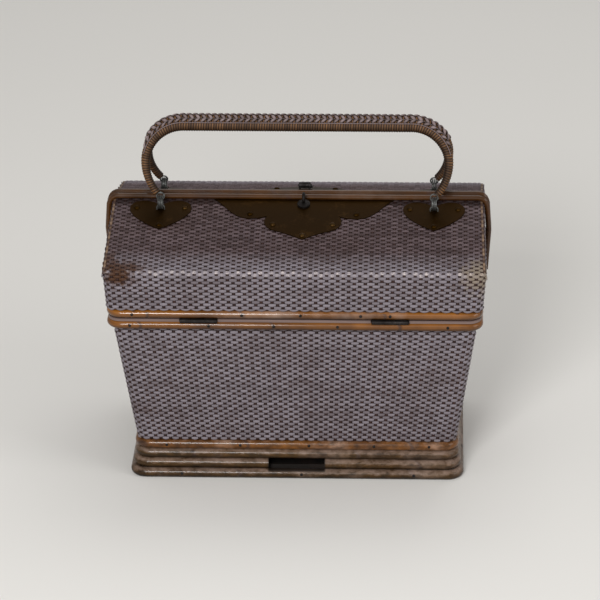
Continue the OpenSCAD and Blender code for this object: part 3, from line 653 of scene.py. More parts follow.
class HalfLid:
    """Weave of one half lid, worked out in the front half's place and turned for the rear half."""

    def __init__(self, side):
        _, w = measures()
        self.side = side
        self.rng = np.random.default_rng(LID_SEEDS[side])
        self.section = LidSection()
        self.weavers, self.stakes, self.lining = Parts(), Parts(), Parts()
        self.first = w.lid_end + w.corner
        self.past = self.first + w.lid_front
        self.last = self.past + self.first

    def add_weaver(self, points, along, out, q, row, tint=PLAIN):
        """Adds one weaver."""
        place = (turned(grid, self.side) for grid in (points, along, out))
        weaver(self.weavers, *place, q, row, self.rng, tint=tint)

    def add_stake(self, points, along, out, swing):
        """Adds one stake."""
        place = (turned(grid, self.side) for grid in (points, along, out))
        stake(self.stakes, *place, swing, self.rng)

    def on_roof(self, run, q):
        """Points of the roof, and its directions to the right, up the slope and outwards there."""
        hy, z, slope = self.section.at(run)
        x, drop, bend = roof_row(q, gable_hx(z))
        up = stack3(0.0, -np.sin(slope), np.cos(slope))
        bend = bend[:, None]
        along = np.cos(bend) * TO_RIGHT - np.sin(bend) * up
        out = np.cos(bend) * up + np.sin(bend) * TO_RIGHT
        points = stack3(x, -hy, z) - drop[:, None] * up
        return points, along, stack3(0.0, np.cos(slope), np.sin(slope)), out

    def weave_wall(self):
        """Adds the rows from the ridge down to the neck."""
        s, w = measures()
        q = np.arange(self.last * POINTS_PER_STAKE + 1) / POINTS_PER_STAKE
        for row in range(self.section.wall_rows):
            hy, z, slope = self.section.at(self.section.ridge - (row + 0.5) * w.row_pitch)
            x, y, angle = lid_plan(q, hy + s.rim_hx - s.rim_hy, hy, s.corner_r)
            line = z + w.unevenness * wander(q, self.rng)
            # The row at the ridge gets the painted glints.
            tint = GLINT_BELOW if row == 0 else PLAIN
            out = leaning(angle, QUARTER - slope)
            self.add_weaver(stack3(x, y, line), level(angle), out, q, row + 1, tint)

    def weave_roof(self):
        """Adds the rows from the ridge to the meeting edge, the last ones darkened with painted shade under
        the rods.
        """
        _, w = measures()
        first = (self.first - ROOF_END_STAKES) * POINTS_PER_STAKE
        last = (self.past + ROOF_END_STAKES) * POINTS_PER_STAKE
        q = np.arange(first, last + 1) / POINTS_PER_STAKE
        for row in range(self.section.roof_rows):
            points, along, ahead, out = self.on_roof(self.section.ridge + (row + 0.5) * w.row_pitch, q)
            points = points + (w.unevenness * wander(q, self.rng))[:, None] * ahead
            # The row at the ridge gets the painted glints.
            tint = GLINT_ABOVE if row == 0 else PLAIN
            # The last rows get painted shade under the meeting rods.
            if row >= self.section.roof_rows - PAINTED_SHADE_ROWS:
                tint = PAINTED_SHADE
            self.add_weaver(points, along, out, q, row, tint)

    def weave_gables(self):
        """Adds the rows of both gable ends, level up to the roof's edge."""
        s, w = measures()
        rise = s.top_z - s.ridge_z
        reach = s.ridge_hy - s.corner_r - s.lid_gap
        for row in range(int(rise / w.row_pitch) + 1):
            z = s.ridge_z + (row - 0.2) * w.row_pitch
            far = s.ridge_hy * (1 - (z - s.ridge_z) / rise) - GABLE_ROW_GAP - s.lid_gap
            count = int(min(far / reach, 1.0) * w.lid_end * POINTS_PER_STAKE)
            if count < POINTS_PER_STAKE:
                continue
            for end in (-1, 1):
                q = np.arange(count + 1)[::-end] / POINTS_PER_STAKE
                y = -(s.lid_gap + reach * q / w.lid_end)
                line = z + 0.5 * w.unevenness * wander(q, self.rng)
                out = np.tile([float(end), 0.0, 0.0], (len(q), 1))
                along = np.tile([0.0, float(end), 0.0], (len(q), 1))
                self.add_weaver(stack3(end * (gable_hx(z) - GABLE_SINK), y, line), along, out, q, row)

    def stand_stakes(self):
        """Adds the stakes of the wall, the roof and the gable ends."""
        s, w = measures()
        section = self.section
        half = w.row_pitch / 2
        low, high = -2 * section.wall_rows, 2 * section.roof_rows
        flat = s.ridge_hx - s.corner_r
        for k in range(self.last + 1):
            on_front = self.first <= k <= self.past
            steps = np.arange(low, (high if on_front else 0) + 1)
            hy, z, slope = section.at(section.ridge + steps * half)
            hx = np.minimum(hy, s.ridge_hy) + s.rim_hx - s.rim_hy
            x, y, angle = lid_plan(np.full(len(z), float(k)), hx, hy, s.corner_r)
            if on_front:
                x = np.where(steps > 0, -flat + 2 * flat * (k - self.first) / w.lid_front, x)
            tilt = QUARTER - slope
            self.add_stake(stack3(x, y, z), rising(angle, tilt), leaning(angle, tilt), showing(k, steps))
        steps = np.arange(2, high + 1)
        for edge in (self.first - ROOF_END_STAKES, self.past + 1):
            for k in range(edge, edge + ROOF_END_STAKES):
                spot = np.full(len(steps), float(k))
                points, _, ahead, out = self.on_roof(section.ridge + steps * half, spot)
                self.add_stake(points, ahead, out, showing(k, steps))
        reach = s.ridge_hy - s.corner_r - s.lid_gap
        for end in (-1, 1):
            for k in range(w.lid_end):
                y = s.lid_gap + reach * k / w.lid_end
                top = s.top_z - y * (s.top_z - s.ridge_z) / s.ridge_hy - GABLE_STAKE_GAP
                count = int((top - s.ridge_z) / half)
                if count < 2:
                    continue
                steps = np.arange(-1, count + 1)
                z = s.ridge_z + (steps - 0.4) * half
                out = np.tile([float(end), 0.0, 0.0], (len(z), 1))
                along = np.tile([0.0, 0.0, 1.0], (len(z), 1))
                points = stack3(end * (gable_hx(z) - GABLE_SINK), -y, z)
                self.add_stake(points, along, out, showing(k + 0.5, steps))

    def wall_points(self, q, run, sink):
        """Points across the wall, sunk below the weave."""
        s, _ = measures()
        hy, z, _ = self.section.at(run, sink)
        x, y, _ = lid_plan(q, hy + s.rim_hx - s.rim_hy, hy, s.corner_r - sink)
        return stack3(x, y, z)

    def roof_points(self, q, run, sink):
        """Points across the roof between the gable ends, sunk below the weave."""
        s, _ = measures()
        hy, z, _ = self.section.at(run, sink)
        x, _, _ = roof_row(q, s.ridge_hx + ROOF_FLAT)
        return stack3(np.clip(x, sink - s.gable_top_hx, s.gable_top_hx - sink), -hy, z)

    def line_inside(self):
        """Adds the inside of the wall, the roof and the gable ends."""
        s, w = measures()
        ridge = self.section.ridge
        sinks = (w.lining_sink, s.shell_t)
        front = np.arange(self.first, self.past + 1.0)
        front = np.concatenate([[self.first - ROOF_PAST], front, [self.past + ROOF_PAST]])
        below = np.linspace(0, ridge - RIDGE_LEAD, WALL_RINGS)
        below = np.concatenate([below, [ridge - RIDGE_LEAD / 2, ridge]])
        above = np.linspace(ridge + RIDGE_LEAD, self.section.end, ROOF_RINGS)
        above = np.concatenate([[ridge, ridge + RIDGE_LEAD / 2], above])
        for q, runs, place in (
            (np.arange(self.last + 1.0), below, self.wall_points),
            (front, above, self.roof_points),
        ):
            skins = []
            for sink in sinks:
                skins.append(np.stack([turned(place(q, run, sink), self.side) for run in runs], 1))
            stakes, rows = np.meshgrid(q, runs / w.row_pitch, indexing="ij")
            self.lining.slab(*skins, stake=stakes, row=rows)
        share = np.linspace(*GABLE_RISE, GABLE_POINTS[1])
        z = (s.ridge_z + share * (s.top_z - s.ridge_z))[None, :]
        far = s.ridge_hy * (1 - np.clip(share, GABLE_CUT, 1)) - GABLE_EDGE_GAP
        for end in (-1, 1):
            t = np.linspace(0, 1, GABLE_POINTS[0])[::-end, None]
            y = mix(s.lid_gap, np.maximum(far, GABLE_LEAST)[None, :], t)
            skins = [turned(stack3(end * (gable_hx(z) - sink), -y, z), self.side) for sink in sinks]
            self.lining.slab(*skins, stake=y / INSIDE_STAKE, row=z / w.row_pitch)


class HANDBAG_OT_weave_lids(bpy.types.Operator):
    """Weaves both half lids: wall, ridge, roof and gable ends"""

    bl_idname = "handbag.weave_lids"
    bl_label = "Weave the half lids"

    def execute(self, context):
        for side in SIDES:
            body = side + "_lid"
            nodes = [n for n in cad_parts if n.startswith(body) and n.endswith("_weave")]
            lid = HalfLid(side)
            lid.weave_wall()
            lid.weave_roof()
            lid.weave_gables()
            lid.stand_stakes()
            lid.line_inside()
            for parts, name, cane in (
                (lid.weavers, body + "_weavers", weaver_cane("Weaver cane")),
                (lid.stakes, body + "_stakes", stake_cane("Stake cane")),
                (lid.lining, body + "_lining", lining_cane("Lining cane")),
            ):
                finish_piece(parts.build(name), body, "cane_weave", cane, *nodes)
        return {"FINISHED"}


# Handles

WRAP_SIDES = 18
WRAP_STEPS = 4
WRAP_TURNS = 1000
WRAP_ROUND = 1.3
PLAIT_BEND_SHARE = 0.85
STITCH_RUN = np.linspace(0, 1, 9)
STITCH_SWELL = np.sin(math.pi * np.clip(STITCH_RUN, 0.03, 0.97)) ** 0.6
STITCH_PLACE = np.array([-1.0, -0.62, 0.0, 0.62, 1.0])
STITCH_RISE = np.array([0.0, 0.78, 1.0, 0.78, 0.0])
STITCH_ANGLE = np.radians(56 - 62 * STITCH_RUN)
STITCH_LEAN = math.radians(48)
STITCH_LENGTH = 0.95
STITCH_SIZES = (0.92, 1.08)
STITCH_SEAT = 0.06 * MM
BORDER_POINTS = 361
BORDER_SIDES = 6
BORDER_ANGLE = math.radians(60)
BORDER_R = 0.42 * MM
BORDER_SEAT = 0.2 * MM


def grip_leg():
    """Radius and angle of the bent leg that points at its eye."""
    h = bpy.context.scene.handbag_handle
    drop = h.height - h.bend - h.ring_r
    inward = h.half_w - h.ring_x
    radius = (drop * drop + inward * inward - h.eye_out * h.eye_out) / (2 * inward)
    return radius, math.atan2(drop, radius - inward) - math.atan2(h.eye_out, radius)


def grip_line(run):
    """Centreline and outward direction of the upright handle, for lengths from the middle of the grip."""
    h = bpy.context.scene.handbag_handle
    straight = h.half_w - h.bend
    leg = straight + h.bend * QUARTER
    leg_r, _ = grip_leg()
    far = np.abs(run)
    sign = np.where(run < 0, -1.0, 1.0)
    a = np.clip((far - straight) / h.bend, 0, QUARTER)
    b = np.maximum(far - leg, 0) / leg_r
    zones = [far <= straight, far <= leg]
    x = np.select(zones, [far, straight + h.bend * np.sin(a)], h.half_w - leg_r + leg_r * np.cos(b))
    bent = h.height - h.bend + h.bend * np.cos(a)
    z = np.select(zones, [np.full_like(far, h.height), bent], h.height - h.bend - leg_r * np.sin(b))
    out_x = np.where(far <= leg, np.sin(a), np.cos(b))
    out_z = np.where(far <= leg, np.cos(a), -np.sin(b))
    return sign * x, z, sign * out_x, out_z


def grip_length():
    """Length from the middle of the grip to the handle's end, and to the end of the straight."""
    h = bpy.context.scene.handbag_handle
    straight = h.half_w - h.bend
    leg_r, leg_a = grip_leg()
    return straight + h.bend * QUARTER + leg_r * leg_a, straight


def grip_radius(run):
    """Radius of the handle at a length from the middle of the grip."""
    h = bpy.context.scene.handbag_handle
    end, straight = grip_length()
    t = np.clip((np.abs(run) - straight) / (end - straight), 0, 1)
    return mix(h.grip_d, h.end_d, t * t * (3 - 2 * t)) / 2


def on_grip(run, angle, radius):
    """Points at an angle from the handle's outward side and a radius, in the bag's frame."""
    h = bpy.context.scene.handbag_handle
    x, z, out_x, out_z = grip_line(run)
    side = -radius * np.sin(angle)
    x = x + out_x * radius * np.cos(angle)
    z = z + out_z * radius * np.cos(angle)
    y = -h.ring_y + side * math.cos(h.lean) + z * math.sin(h.lean)
    z = h.ring_z - side * math.sin(h.lean) + z * math.cos(h.lean)
    return stack3(x, y, z)


class HANDBAG_OT_wrap_handles(bpy.types.Operator):
    """Wraps both handles with fine cane"""

    bl_idname = "handbag.wrap_handles"
    bl_label = "Wrap the handles"

    def execute(self, context):
        h = context.scene.handbag_handle
        end, _ = grip_length()
        run = np.linspace(-end, end, int(2 * end / h.wrap_pitch * WRAP_STEPS) + 1)[:, None]
        angle = np.arange(WRAP_SIDES) * 2 * math.pi / WRAP_SIDES
        phase = run / h.wrap_pitch + angle / (2 * math.pi)
        crest = np.abs(np.cos(math.pi * phase)) ** WRAP_ROUND
        turn = np.floor(phase + 0.5).astype(int) + WRAP_TURNS
        points = on_grip(run, angle, grip_radius(run) - h.wrap_depth * (1 - crest))
        for side in SIDES:
            tones = np.random.default_rng(WRAP_SEEDS[side]).uniform(0, 1, 2 * WRAP_TURNS)
            parts = Parts()
            # top and crest guide the wrap's colour: painted shade towards the underside and in the grooves.
            parts.tube(turned(points, side), crest=crest, tone=tones[turn], top=np.cos(angle) * 0.5 + 0.5)
            piece = parts.build(side + "_handle_wrap")
            cane = wrap_cane("Wrapped cane")
            finish_piece(piece, side + "_handle", "handle_cane", cane, side + "_handle_core")
        return {"FINISHED"}


class HANDBAG_OT_plait_handles(bpy.types.Operator):
    """Plaits a band of slanted stitches along the outer side of both handles"""

    bl_idname = "handbag.plait_handles"
    bl_label = "Plait the handles"

    def execute(self, context):
        h = context.scene.handbag_handle
        _, straight = grip_length()
        reach = straight + h.bend * QUARTER * PLAIT_BEND_SHARE
        count = int(reach / h.stitch_pitch)
        for side in SIDES:
            rng = np.random.default_rng(PLAIT_SEEDS[side])
            parts = Parts()
            for step in range(-count, count + 1):
                for hand in (-1, 1):
                    middle = (step + 0.25 * hand) * h.stitch_pitch
                    if abs(middle) <= reach - h.stitch_pitch:
                        self.stitch(h, parts, side, middle, hand, rng)
            for hand in (-1, 1):
                self.border(h, parts, side, reach, hand)
            piece = parts.build(side + "_handle_plait")
            cane = plait_cane("Plaited cane")
            finish_piece(piece, side + "_handle", "handle_cane", cane, side + "_handle_braid")
        return {"FINISHED"}

    def stitch(self, h, parts, side, middle, hand, rng):
        """Adds one stitch from the border to just past the middle line."""
        size = rng.uniform(*STITCH_SIZES)
        run = (middle + (STITCH_RUN - 0.5) * h.stitch_pitch * STITCH_LENGTH)[:, None]
        angle = (hand * STITCH_ANGLE)[:, None]
        spread = (h.stitch_w * 0.5 * STITCH_SWELL * size)[:, None] * STITCH_PLACE
        crest = STITCH_SWELL[:, None] * STITCH_RISE
        base = grip_radius(run)
        turn = angle + spread * math.sin(STITCH_LEAN) / base
        radius = base + STITCH_SEAT + h.stitch_h * size * crest
        rings = on_grip(run + spread * math.cos(STITCH_LEAN) * hand, turn, radius)
        parts.tube(turned(rings[:, ::hand], side), crest=crest, tone=rng.uniform())

    def border(self, h, parts, side, reach, hand):
        """Adds the cord that closes one edge of the plait."""
        run = np.linspace(-reach, reach, BORDER_POINTS)[:, None]
        around = np.arange(BORDER_SIDES) * 2 * math.pi / BORDER_SIDES
        thick = BORDER_R * (1 + 0.25 * np.sin(run * 2 * math.pi / (h.stitch_pitch * 0.5)))
        base = grip_radius(run) + BORDER_SEAT
        turn = BORDER_ANGLE * hand + thick * np.sin(around) / base
        rings = on_grip(run, turn, base + thick * np.cos(around))
        # The cord's crest runs low on its inner side, which the plait darkens as painted shade.
        parts.tube(turned(rings, side), crest=np.cos(around) * 0.4 + 0.4, tone=0.4)


# Small hardware

SHANK_SIDES = 12
SHANK_R = 0.55 * MM
SHANK_LENGTH = 1.6 * MM
SMOOTH_ANGLE = math.radians(50)
FACES_ALONG = 0.9
HEAD_STEPS = ((0.0, 2.2), (0.28, 0.94), (0.24, 0.78), (0.14, 0.5))
BODY_NAILS = {
    "body_rim_rod": (-129, -67, -16, 34, 120),
    "plinth_top_rod": (-104, -45, 10, 62, 106),
    "plinth_foot_rod": (-92, 4, 94),
}
LID_NAILS = (-127, -41, 5, 52, 75)
NAIL_SINK = 0.12 * MM
NAIL_RISE = 0.4 * MM
NAIL_TILT = 0.12
PLATE_NAIL_SCALE = 2.0
PLATE_NAIL_APART = 6.0 * MM
CHANNEL_WIDTH = 53.0 * MM
CHANNEL_SHORTER = 6.4 * MM
CHANNEL_TALLER = 2.4 * MM
BOARD_T = 1.2 * MM
# Near-black tint of the strap's boards: painted shade inside the slots.
SHADE_BOARD_TINT = (0.008, 0.006, 0.005)


def start_fresh():
    """Leaves nothing selected, in object mode."""
    if bpy.context.object and bpy.context.object.mode != "OBJECT":
        bpy.ops.object.mode_set(mode="OBJECT")
    bpy.ops.object.select_all(action="DESELECT")


def pick_faces(piece, wanted):
    """Enters edit mode with only the faces selected that are wanted."""
    bpy.ops.object.mode_set(mode="EDIT")
    bpy.ops.mesh.select_mode(type="FACE")
    bpy.ops.mesh.select_all(action="DESELECT")
    bpy.ops.object.mode_set(mode="OBJECT")
    for face in piece.data.polygons:
        face.select = wanted(face)
    bpy.ops.object.mode_set(mode="EDIT")


def model_nail():
    """Models one domed nail with its short shank at the origin, head towards +Z."""
    start_fresh()
    bpy.ops.mesh.primitive_cylinder_add(
        vertices=SHANK_SIDES, radius=SHANK_R, depth=SHANK_LENGTH, location=(0, 0, -SHANK_LENGTH / 2)
    )
    nail = bpy.context.object
    bpy.ops.object.transform_apply(location=True, rotation=True, scale=True)
    pick_faces(nail, lambda face: face.normal.z > FACES_ALONG)
    for rise, scale in HEAD_STEPS:
        bpy.ops.mesh.extrude_region_move(TRANSFORM_OT_translate={"value": (0, 0, rise * MM)})
        bpy.ops.transform.resize(value=(scale, scale, 1))
    bpy.ops.object.mode_set(mode="OBJECT")
    bpy.ops.object.shade_smooth_by_angle(angle=SMOOTH_ANGLE)
    return nail


def copies(master, places, name):
    """Copies a modelled piece to each place, given as a matrix, and joins the copies into one piece."""
    start_fresh()
    for matrix in places:
        piece = master.copy()
        piece.data = master.data.copy()
        bpy.context.scene.collection.objects.link(piece)
        piece.data.transform(matrix)
        piece.select_set(True)
        if matrix is places[0]:
            bpy.context.view_layer.objects.active = piece
    bpy.ops.object.join()
    joined = bpy.context.object
    joined.name = name
    joined.data.name = name
    return joined


def aimed(place, direction):
    """Matrix that puts a piece at a place with its +Z towards a direction."""
    turn = Vector(direction).to_track_quat("Z", "Y").to_matrix().to_4x4()
    return Matrix.Translation(Vector(place)) @ turn


class HANDBAG_OT_line_slots(bpy.types.Operator):
    """Lines the way between the front and the rear slot, for a strap, with near-black boards that give the
    painted shade inside the slots
    """

    bl_idname = "handbag.line_slots"
    bl_label = "Line the slots"

    def execute(self, context):
        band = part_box("plinth_band")
        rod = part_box("plinth_slot_rod")
        deep = band[1][1] - band[0][1] - CHANNEL_SHORTER
        tall = rod[1][2] - rod[0][2] + CHANNEL_TALLER
        start_fresh()
        bpy.ops.mesh.primitive_cube_add(size=1.0, location=(0, 0, (rod[0][2] + rod[1][2]) / 2))
        channel = context.object
        channel.name = "strap_channel"
        channel.data.name = "strap_channel"
        channel.scale = (CHANNEL_WIDTH, deep, tall)
        bpy.ops.object.transform_apply(location=True, rotation=True, scale=True)
        pick_faces(channel, lambda face: abs(face.normal.y) > FACES_ALONG)
        bpy.ops.mesh.delete(type="FACE")
        bpy.ops.object.mode_set(mode="OBJECT")
        board = channel.modifiers.new("Board", "SOLIDIFY")
        board.thickness = BOARD_T
        board.offset = 1.0
        bpy.ops.object.modifier_apply(modifier="Board")
        # The boards are tinted near black as painted shade.
        finish_piece(channel, "basket", "cane_rod", flat_cane("Dark board", SHADE_BOARD_TINT))
        return {"FINISHED"}


class HANDBAG_OT_nail_rods(bpy.types.Operator):
    """Nails the rim and plinth rods with small dark domed nails"""

    bl_idname = "handbag.nail_rods"
    bl_label = "Nail the rods"

    def execute(self, context):
        nail = model_nail()
        places = []
        for node, line in BODY_NAILS.items():
            places += self.places(node, line, -1) + self.places(node, line, 1)
        body = copies(nail, places, "basket_rod_nails")
        finish_piece(body, "basket", "dark_iron", metal("Dark iron"))
        for side in SIDES:
            places = self.places(side + "_lid_rim_rod", LID_NAILS, FACING[side])
            lid = copies(nail, places, side + "_lid_rod_nails")
            finish_piece(lid, side + "_lid", "dark_iron", metal("Dark iron"))
        bpy.data.objects.remove(nail, do_unlink=True)
        return {"FINISHED"}

    def places(self, node, line, face):
        """Places of nails along a rod's front or rear."""
        low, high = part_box(node)
        y = (high[1] if face > 0 else low[1]) - face * NAIL_SINK
        z = (low[2] + high[2]) / 2 + NAIL_RISE
        return [aimed((-face * x * MM, y, z), (0, face, NAIL_TILT)) for x in line]


class HANDBAG_OT_nail_plates(bpy.types.Operator):
    """Nails the brass plates with broad domed heads, seated where the solids have their nails"""

    bl_idname = "handbag.nail_plates"
    bl_label = "Nail the plates"

    def execute(self, context):
        s, _ = measures()
        slope = math.atan2(s.top_z - s.ridge_z, s.ridge_hy)
        nail = model_nail()
        nail.data.transform(Matrix.Scale(PLATE_NAIL_SCALE, 4))
        for side in SIDES:
            node = side + "_plate_nails"
            out = Vector((0, FACING[side] * math.sin(slope), math.cos(slope)))
            places = [aimed(seat, out) for seat in self.seats(node, np.array(out))]
            domes = copies(nail, places, side + "_plate_domes")
            finish_piece(domes, side + "_lid", "brass_plate", metal("Brass nail heads"), node)
        bpy.data.objects.remove(nail, do_unlink=True)
        return {"FINISHED"}

    def seats(self, node, out):
        """Seats of a node's nails, which stand well apart, as the lowest middle of each."""
        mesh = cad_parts[node].data
        flat = np.empty(3 * len(mesh.vertices), np.float32)
        mesh.vertices.foreach_get("co", flat)
        points = flat.reshape(-1, 3)
        found = []
        while len(points):
            near = np.linalg.norm(points - points[0], axis=1) < PLATE_NAIL_APART
            group = points[near]
            middle = (group.min(0) + group.max(0)) / 2
            found.append(middle - out * (middle @ out - (group @ out).min()))
            points = points[~near]
        return found


# Materials

VALUE, COLOUR, VECTOR = "NodeSocketFloat", "NodeSocketColor", "NodeSocketVector"
PLAIN_SCALE = (1.0, 1.0, 1.0)
# Painted shade on the roof: the weave darkens above the ridge.
ROOF_PAINTED_SHADE_START = 1.8 * MM
ROOF_PAINTED_SHADE_END = 7.1 * MM
ROOF_PAINTED_SHADE_DARK = (0.20, 0.12, 0.11)
ROOF_PAINTED_SHADE_LIGHT = (0.54, 0.43, 0.41)
YELLOWED = (0.25, 0.19, 0.10)
# Painted shade in the plinth's slots: the rods there turn near black.
SLOT_SHADE_TINT = (0.006, 0.004, 0.003)
SLOT_SHADE_X = (0.0236, 0.0222)
SLOT_SHADE_LOW = (0.0055, 0.0068)
SLOT_SHADE_HIGH = (0.0175, 0.0165)
FINE_BUMP = 0.0002
METALS = {
    "Old brass": ("brass", "tarnish", 70.0, 0.24, 1.0, 0.25),
    "Brass nail heads": ("nail", "tarnish", 70.0, 0.30, 1.0, 0.25),
    "Dark iron": ("iron", "rust", 160.0, 0.32, 0.75, 0.3),
    "Wire": ("wire", "rust", 160.0, 0.45, 0.75, 0.3),
}


class Tree:
    """Short way to add and join the nodes of a material or a node group."""

    def __init__(self, tree):
        self.tree = tree

    def feed(self, node, inputs):
        """Gives a node its inputs; each is a plain value or another node's output."""
        for key, value in inputs.items():
            socket = node.inputs[key]
            if isinstance(value, bpy.types.NodeSocket):
                self.tree.links.new(value, socket)
            elif socket.type == "RGBA":
                socket.default_value = (*value, 1.0)
            else:
                socket.default_value = value

    def add(self, kind, inputs=None, **settings):
        """Adds a node with settings and inputs."""
        node = self.tree.nodes.new(kind)
        for key, value in settings.items():
            setattr(node, key, value)
        self.feed(node, inputs or {})
        return node

    def math(self, operation, *values, clamp=False):
        """Adds a math node and returns its output."""
        node = self.add("ShaderNodeMath", operation=operation, use_clamp=clamp)
        self.feed(node, dict(enumerate(values)))
        return node.outputs[0]

    def times(self, a, b, clamp=False):
        """Returns the product of two values."""
        return self.math("MULTIPLY", a, b, clamp=clamp)

    def scaled(self, value, gain, base, clamp=False):
        """Returns a value times a gain, on top of a base."""
        return self.math("MULTIPLY_ADD", value, gain, base, clamp=clamp)

    def vector(self, operation, *values):
        """Adds a vector math node and returns its outputs."""
        return self.add("ShaderNodeVectorMath", dict(enumerate(values)), operation=operation).outputs

    def spread(self, value, low, high, start=0.0, end=1.0):
        """Returns a value spread from the range low to high to the range start to end."""
        inputs = {"Value": value, "From Min": low, "From Max": high, "To Min": start, "To Max": end}
        return self.add("ShaderNodeMapRange", inputs).outputs["Result"]

    def blend(self, share, first, second, mode="MIX"):
        """Mixes two colours by a share and returns the result."""
        node = self.add("ShaderNodeMix", data_type="RGBA", blend_type=mode)
        self.feed(node, {0: share, 6: first, 7: second})
        return node.outputs[2]

    def value(self, name):
        """Returns a point value of the piece."""
        return self.add("ShaderNodeAttribute", attribute_name=name).outputs["Fac"]

    def coord(self):
        """Returns the piece's own coordinates."""
        return self.add("ShaderNodeTexCoord").outputs["Object"]

    def place(self, scale):
        """Returns the piece's own coordinates, scaled along each axis."""
        return self.add("ShaderNodeMapping", {"Vector": self.coord(), "Scale": scale}).outputs["Vector"]

    def axes(self):
        """Returns the piece's own coordinates, one by one."""
        return self.add("ShaderNodeSeparateXYZ", {"Vector": self.coord()}).outputs

    def noise(self, vector, scale, detail, rough):
        """Returns the level of a noise texture."""
        inputs = {"Vector": vector, "Scale": scale, "Detail": detail, "Roughness": rough}
        return self.add("ShaderNodeTexNoise", inputs).outputs["Fac"]

    def group(self, group, **inputs):
        """Places a node group and returns its outputs."""
        node = self.add("ShaderNodeGroup", node_tree=group)
        self.feed(node, inputs)
        return node.outputs

    def fibre(self, stretch, scale):
        """Places the cane's fibres, drawn out along the axes that are stretched least."""
        return self.group(cane_fibre(), Vector=self.place(stretch), Scale=scale)

    def stained(self, base, stain, amount, scale):
        """Returns a colour with patches of a stain."""
        return self.group(age_stains(), Color=base, Stain=stain, Amount=amount, Scale=scale)["Color"]

    def bump(self, height, strength, distance):
        """Returns the normal that a height gives."""
        inputs = {"Strength": strength, "Distance": distance, "Height": height}
        return self.add("ShaderNodeBump", inputs).outputs["Normal"]


def shared(name, inputs, outputs):
    """Makes a node group once, from a function that turns its tree and inputs into its outputs."""

    def wrap(work):
        @functools.wraps(work)
        def give():
            group = bpy.data.node_groups.get(name)
            if group is None:
                group = bpy.data.node_groups.new(name, "ShaderNodeTree")
                for title, (kind, default) in inputs.items():
                    socket = group.interface.new_socket(title, in_out="INPUT", socket_type=kind)
                    if default is not None:
                        socket.default_value = default
                for title, kind in outputs.items():
                    group.interface.new_socket(title, in_out="OUTPUT", socket_type=kind)
                tree = Tree(group)
                start = tree.add("NodeGroupInput")
                tree.feed(tree.add("NodeGroupOutput"), work(tree, start.outputs))
            return group

        return give

    return wrap


@shared("Cane fibre", {"Vector": (VECTOR, None), "Scale": (VALUE, 1.0)}, {"Streak": VALUE, "Height": VALUE})
def cane_fibre(tree, get):
    """Long fibres of cane: a streak level and a height."""
    broad = tree.noise(get["Vector"], get["Scale"], 4.0, 0.6)
    fine = tree.noise(get["Vector"], tree.times(get["Scale"], 4.3), 2.0, 0.5)
    streak = tree.scaled(fine, 0.35, tree.times(broad, 0.65))
    return {"Streak": tree.spread(streak, 0.30, 0.70), "Height": fine}


@shared(
    "Age stains",
    {"Color": (COLOUR, None), "Stain": (COLOUR, None), "Amount": (VALUE, 0.5), "Scale": (VALUE, 14.0)},
    {"Color": COLOUR},
)
def age_stains(tree, get):
    """Patches of dirt and handling: mixes a stain into a colour."""
    mask = tree.spread(tree.noise(tree.coord(), get["Scale"], 5.0, 0.62), 0.50, 0.74)
    share = tree.times(mask, get["Amount"], clamp=True)
    return {"Color": tree.blend(share, get["Color"], get["Stain"])}


@shared(
    "Worn place",
    {"Centre": (VECTOR, None), "Stretch": (VECTOR, None), "Radius": (VALUE, 0.01)},
    {"Mask": VALUE},
)
def worn_place(tree, get):
    """One worn place: a soft ragged mask round a point."""
    coord = tree.coord()
    away = tree.vector("SUBTRACT", coord, get["Centre"])[0]
    far = tree.vector("LENGTH", tree.vector("MULTIPLY", away, get["Stretch"])[0])["Value"]
    ragged = tree.noise(coord, 210.0, 3.0, 0.6)
    reach = tree.times(get["Radius"], tree.scaled(ragged, 2.6, -0.3))
    return {"Mask": tree.spread(tree.math("DIVIDE", far, reach), 0.45, 1.1, 1.0, 0.0)}


@shared(
    "Tarnished metal",
    {"Bright": (COLOUR, None), "Dark": (COLOUR, None), "Scale": (VALUE, 120.0), "Wear": (VALUE, 0.4)},
    {"Color": COLOUR, "Roughness": VALUE, "Height": VALUE},
)
def tarnished_metal(tree, get):
    """Old metal: a colour, a roughness and a height that follow the tarnish."""
    coord = tree.coord()
    broad = tree.noise(coord, get["Scale"], 5.0, 0.65)
    grain = tree.noise(coord, tree.times(get["Scale"], 9.0), 2.0, 0.5)
    low = tree.math("SUBTRACT", 0.78, get["Wear"])
    high = tree.math("ADD", low, 0.30)
    height = tree.scaled(grain, 0.25, tree.times(broad, 0.75))
    bright = tree.spread(height, low, high)
    tint = tree.blend(bright, get["Dark"], get["Bright"])
    return {"Color": tint, "Roughness": tree.scaled(bright, -0.22, 0.56), "Height": height}


def painted(paint):
    """Makes a material once under its name, from a function that turns its tree into the shader's inputs."""

    @functools.wraps(paint)
    def give(name, *values, **settings):
        material = bpy.data.materials.get(name)
        if material is None:
            material = bpy.data.materials.new(name)
            material.use_nodes = True
            material.node_tree.nodes.clear()
            tree = Tree(material.node_tree)
            shader = tree.add("ShaderNodeBsdfPrincipled")
            tree.add("ShaderNodeOutputMaterial", {"Surface": shader.outputs["BSDF"]})
            tree.feed(shader, paint(tree, bpy.context.scene.handbag_colours, *values, **settings))
        return material

    return give


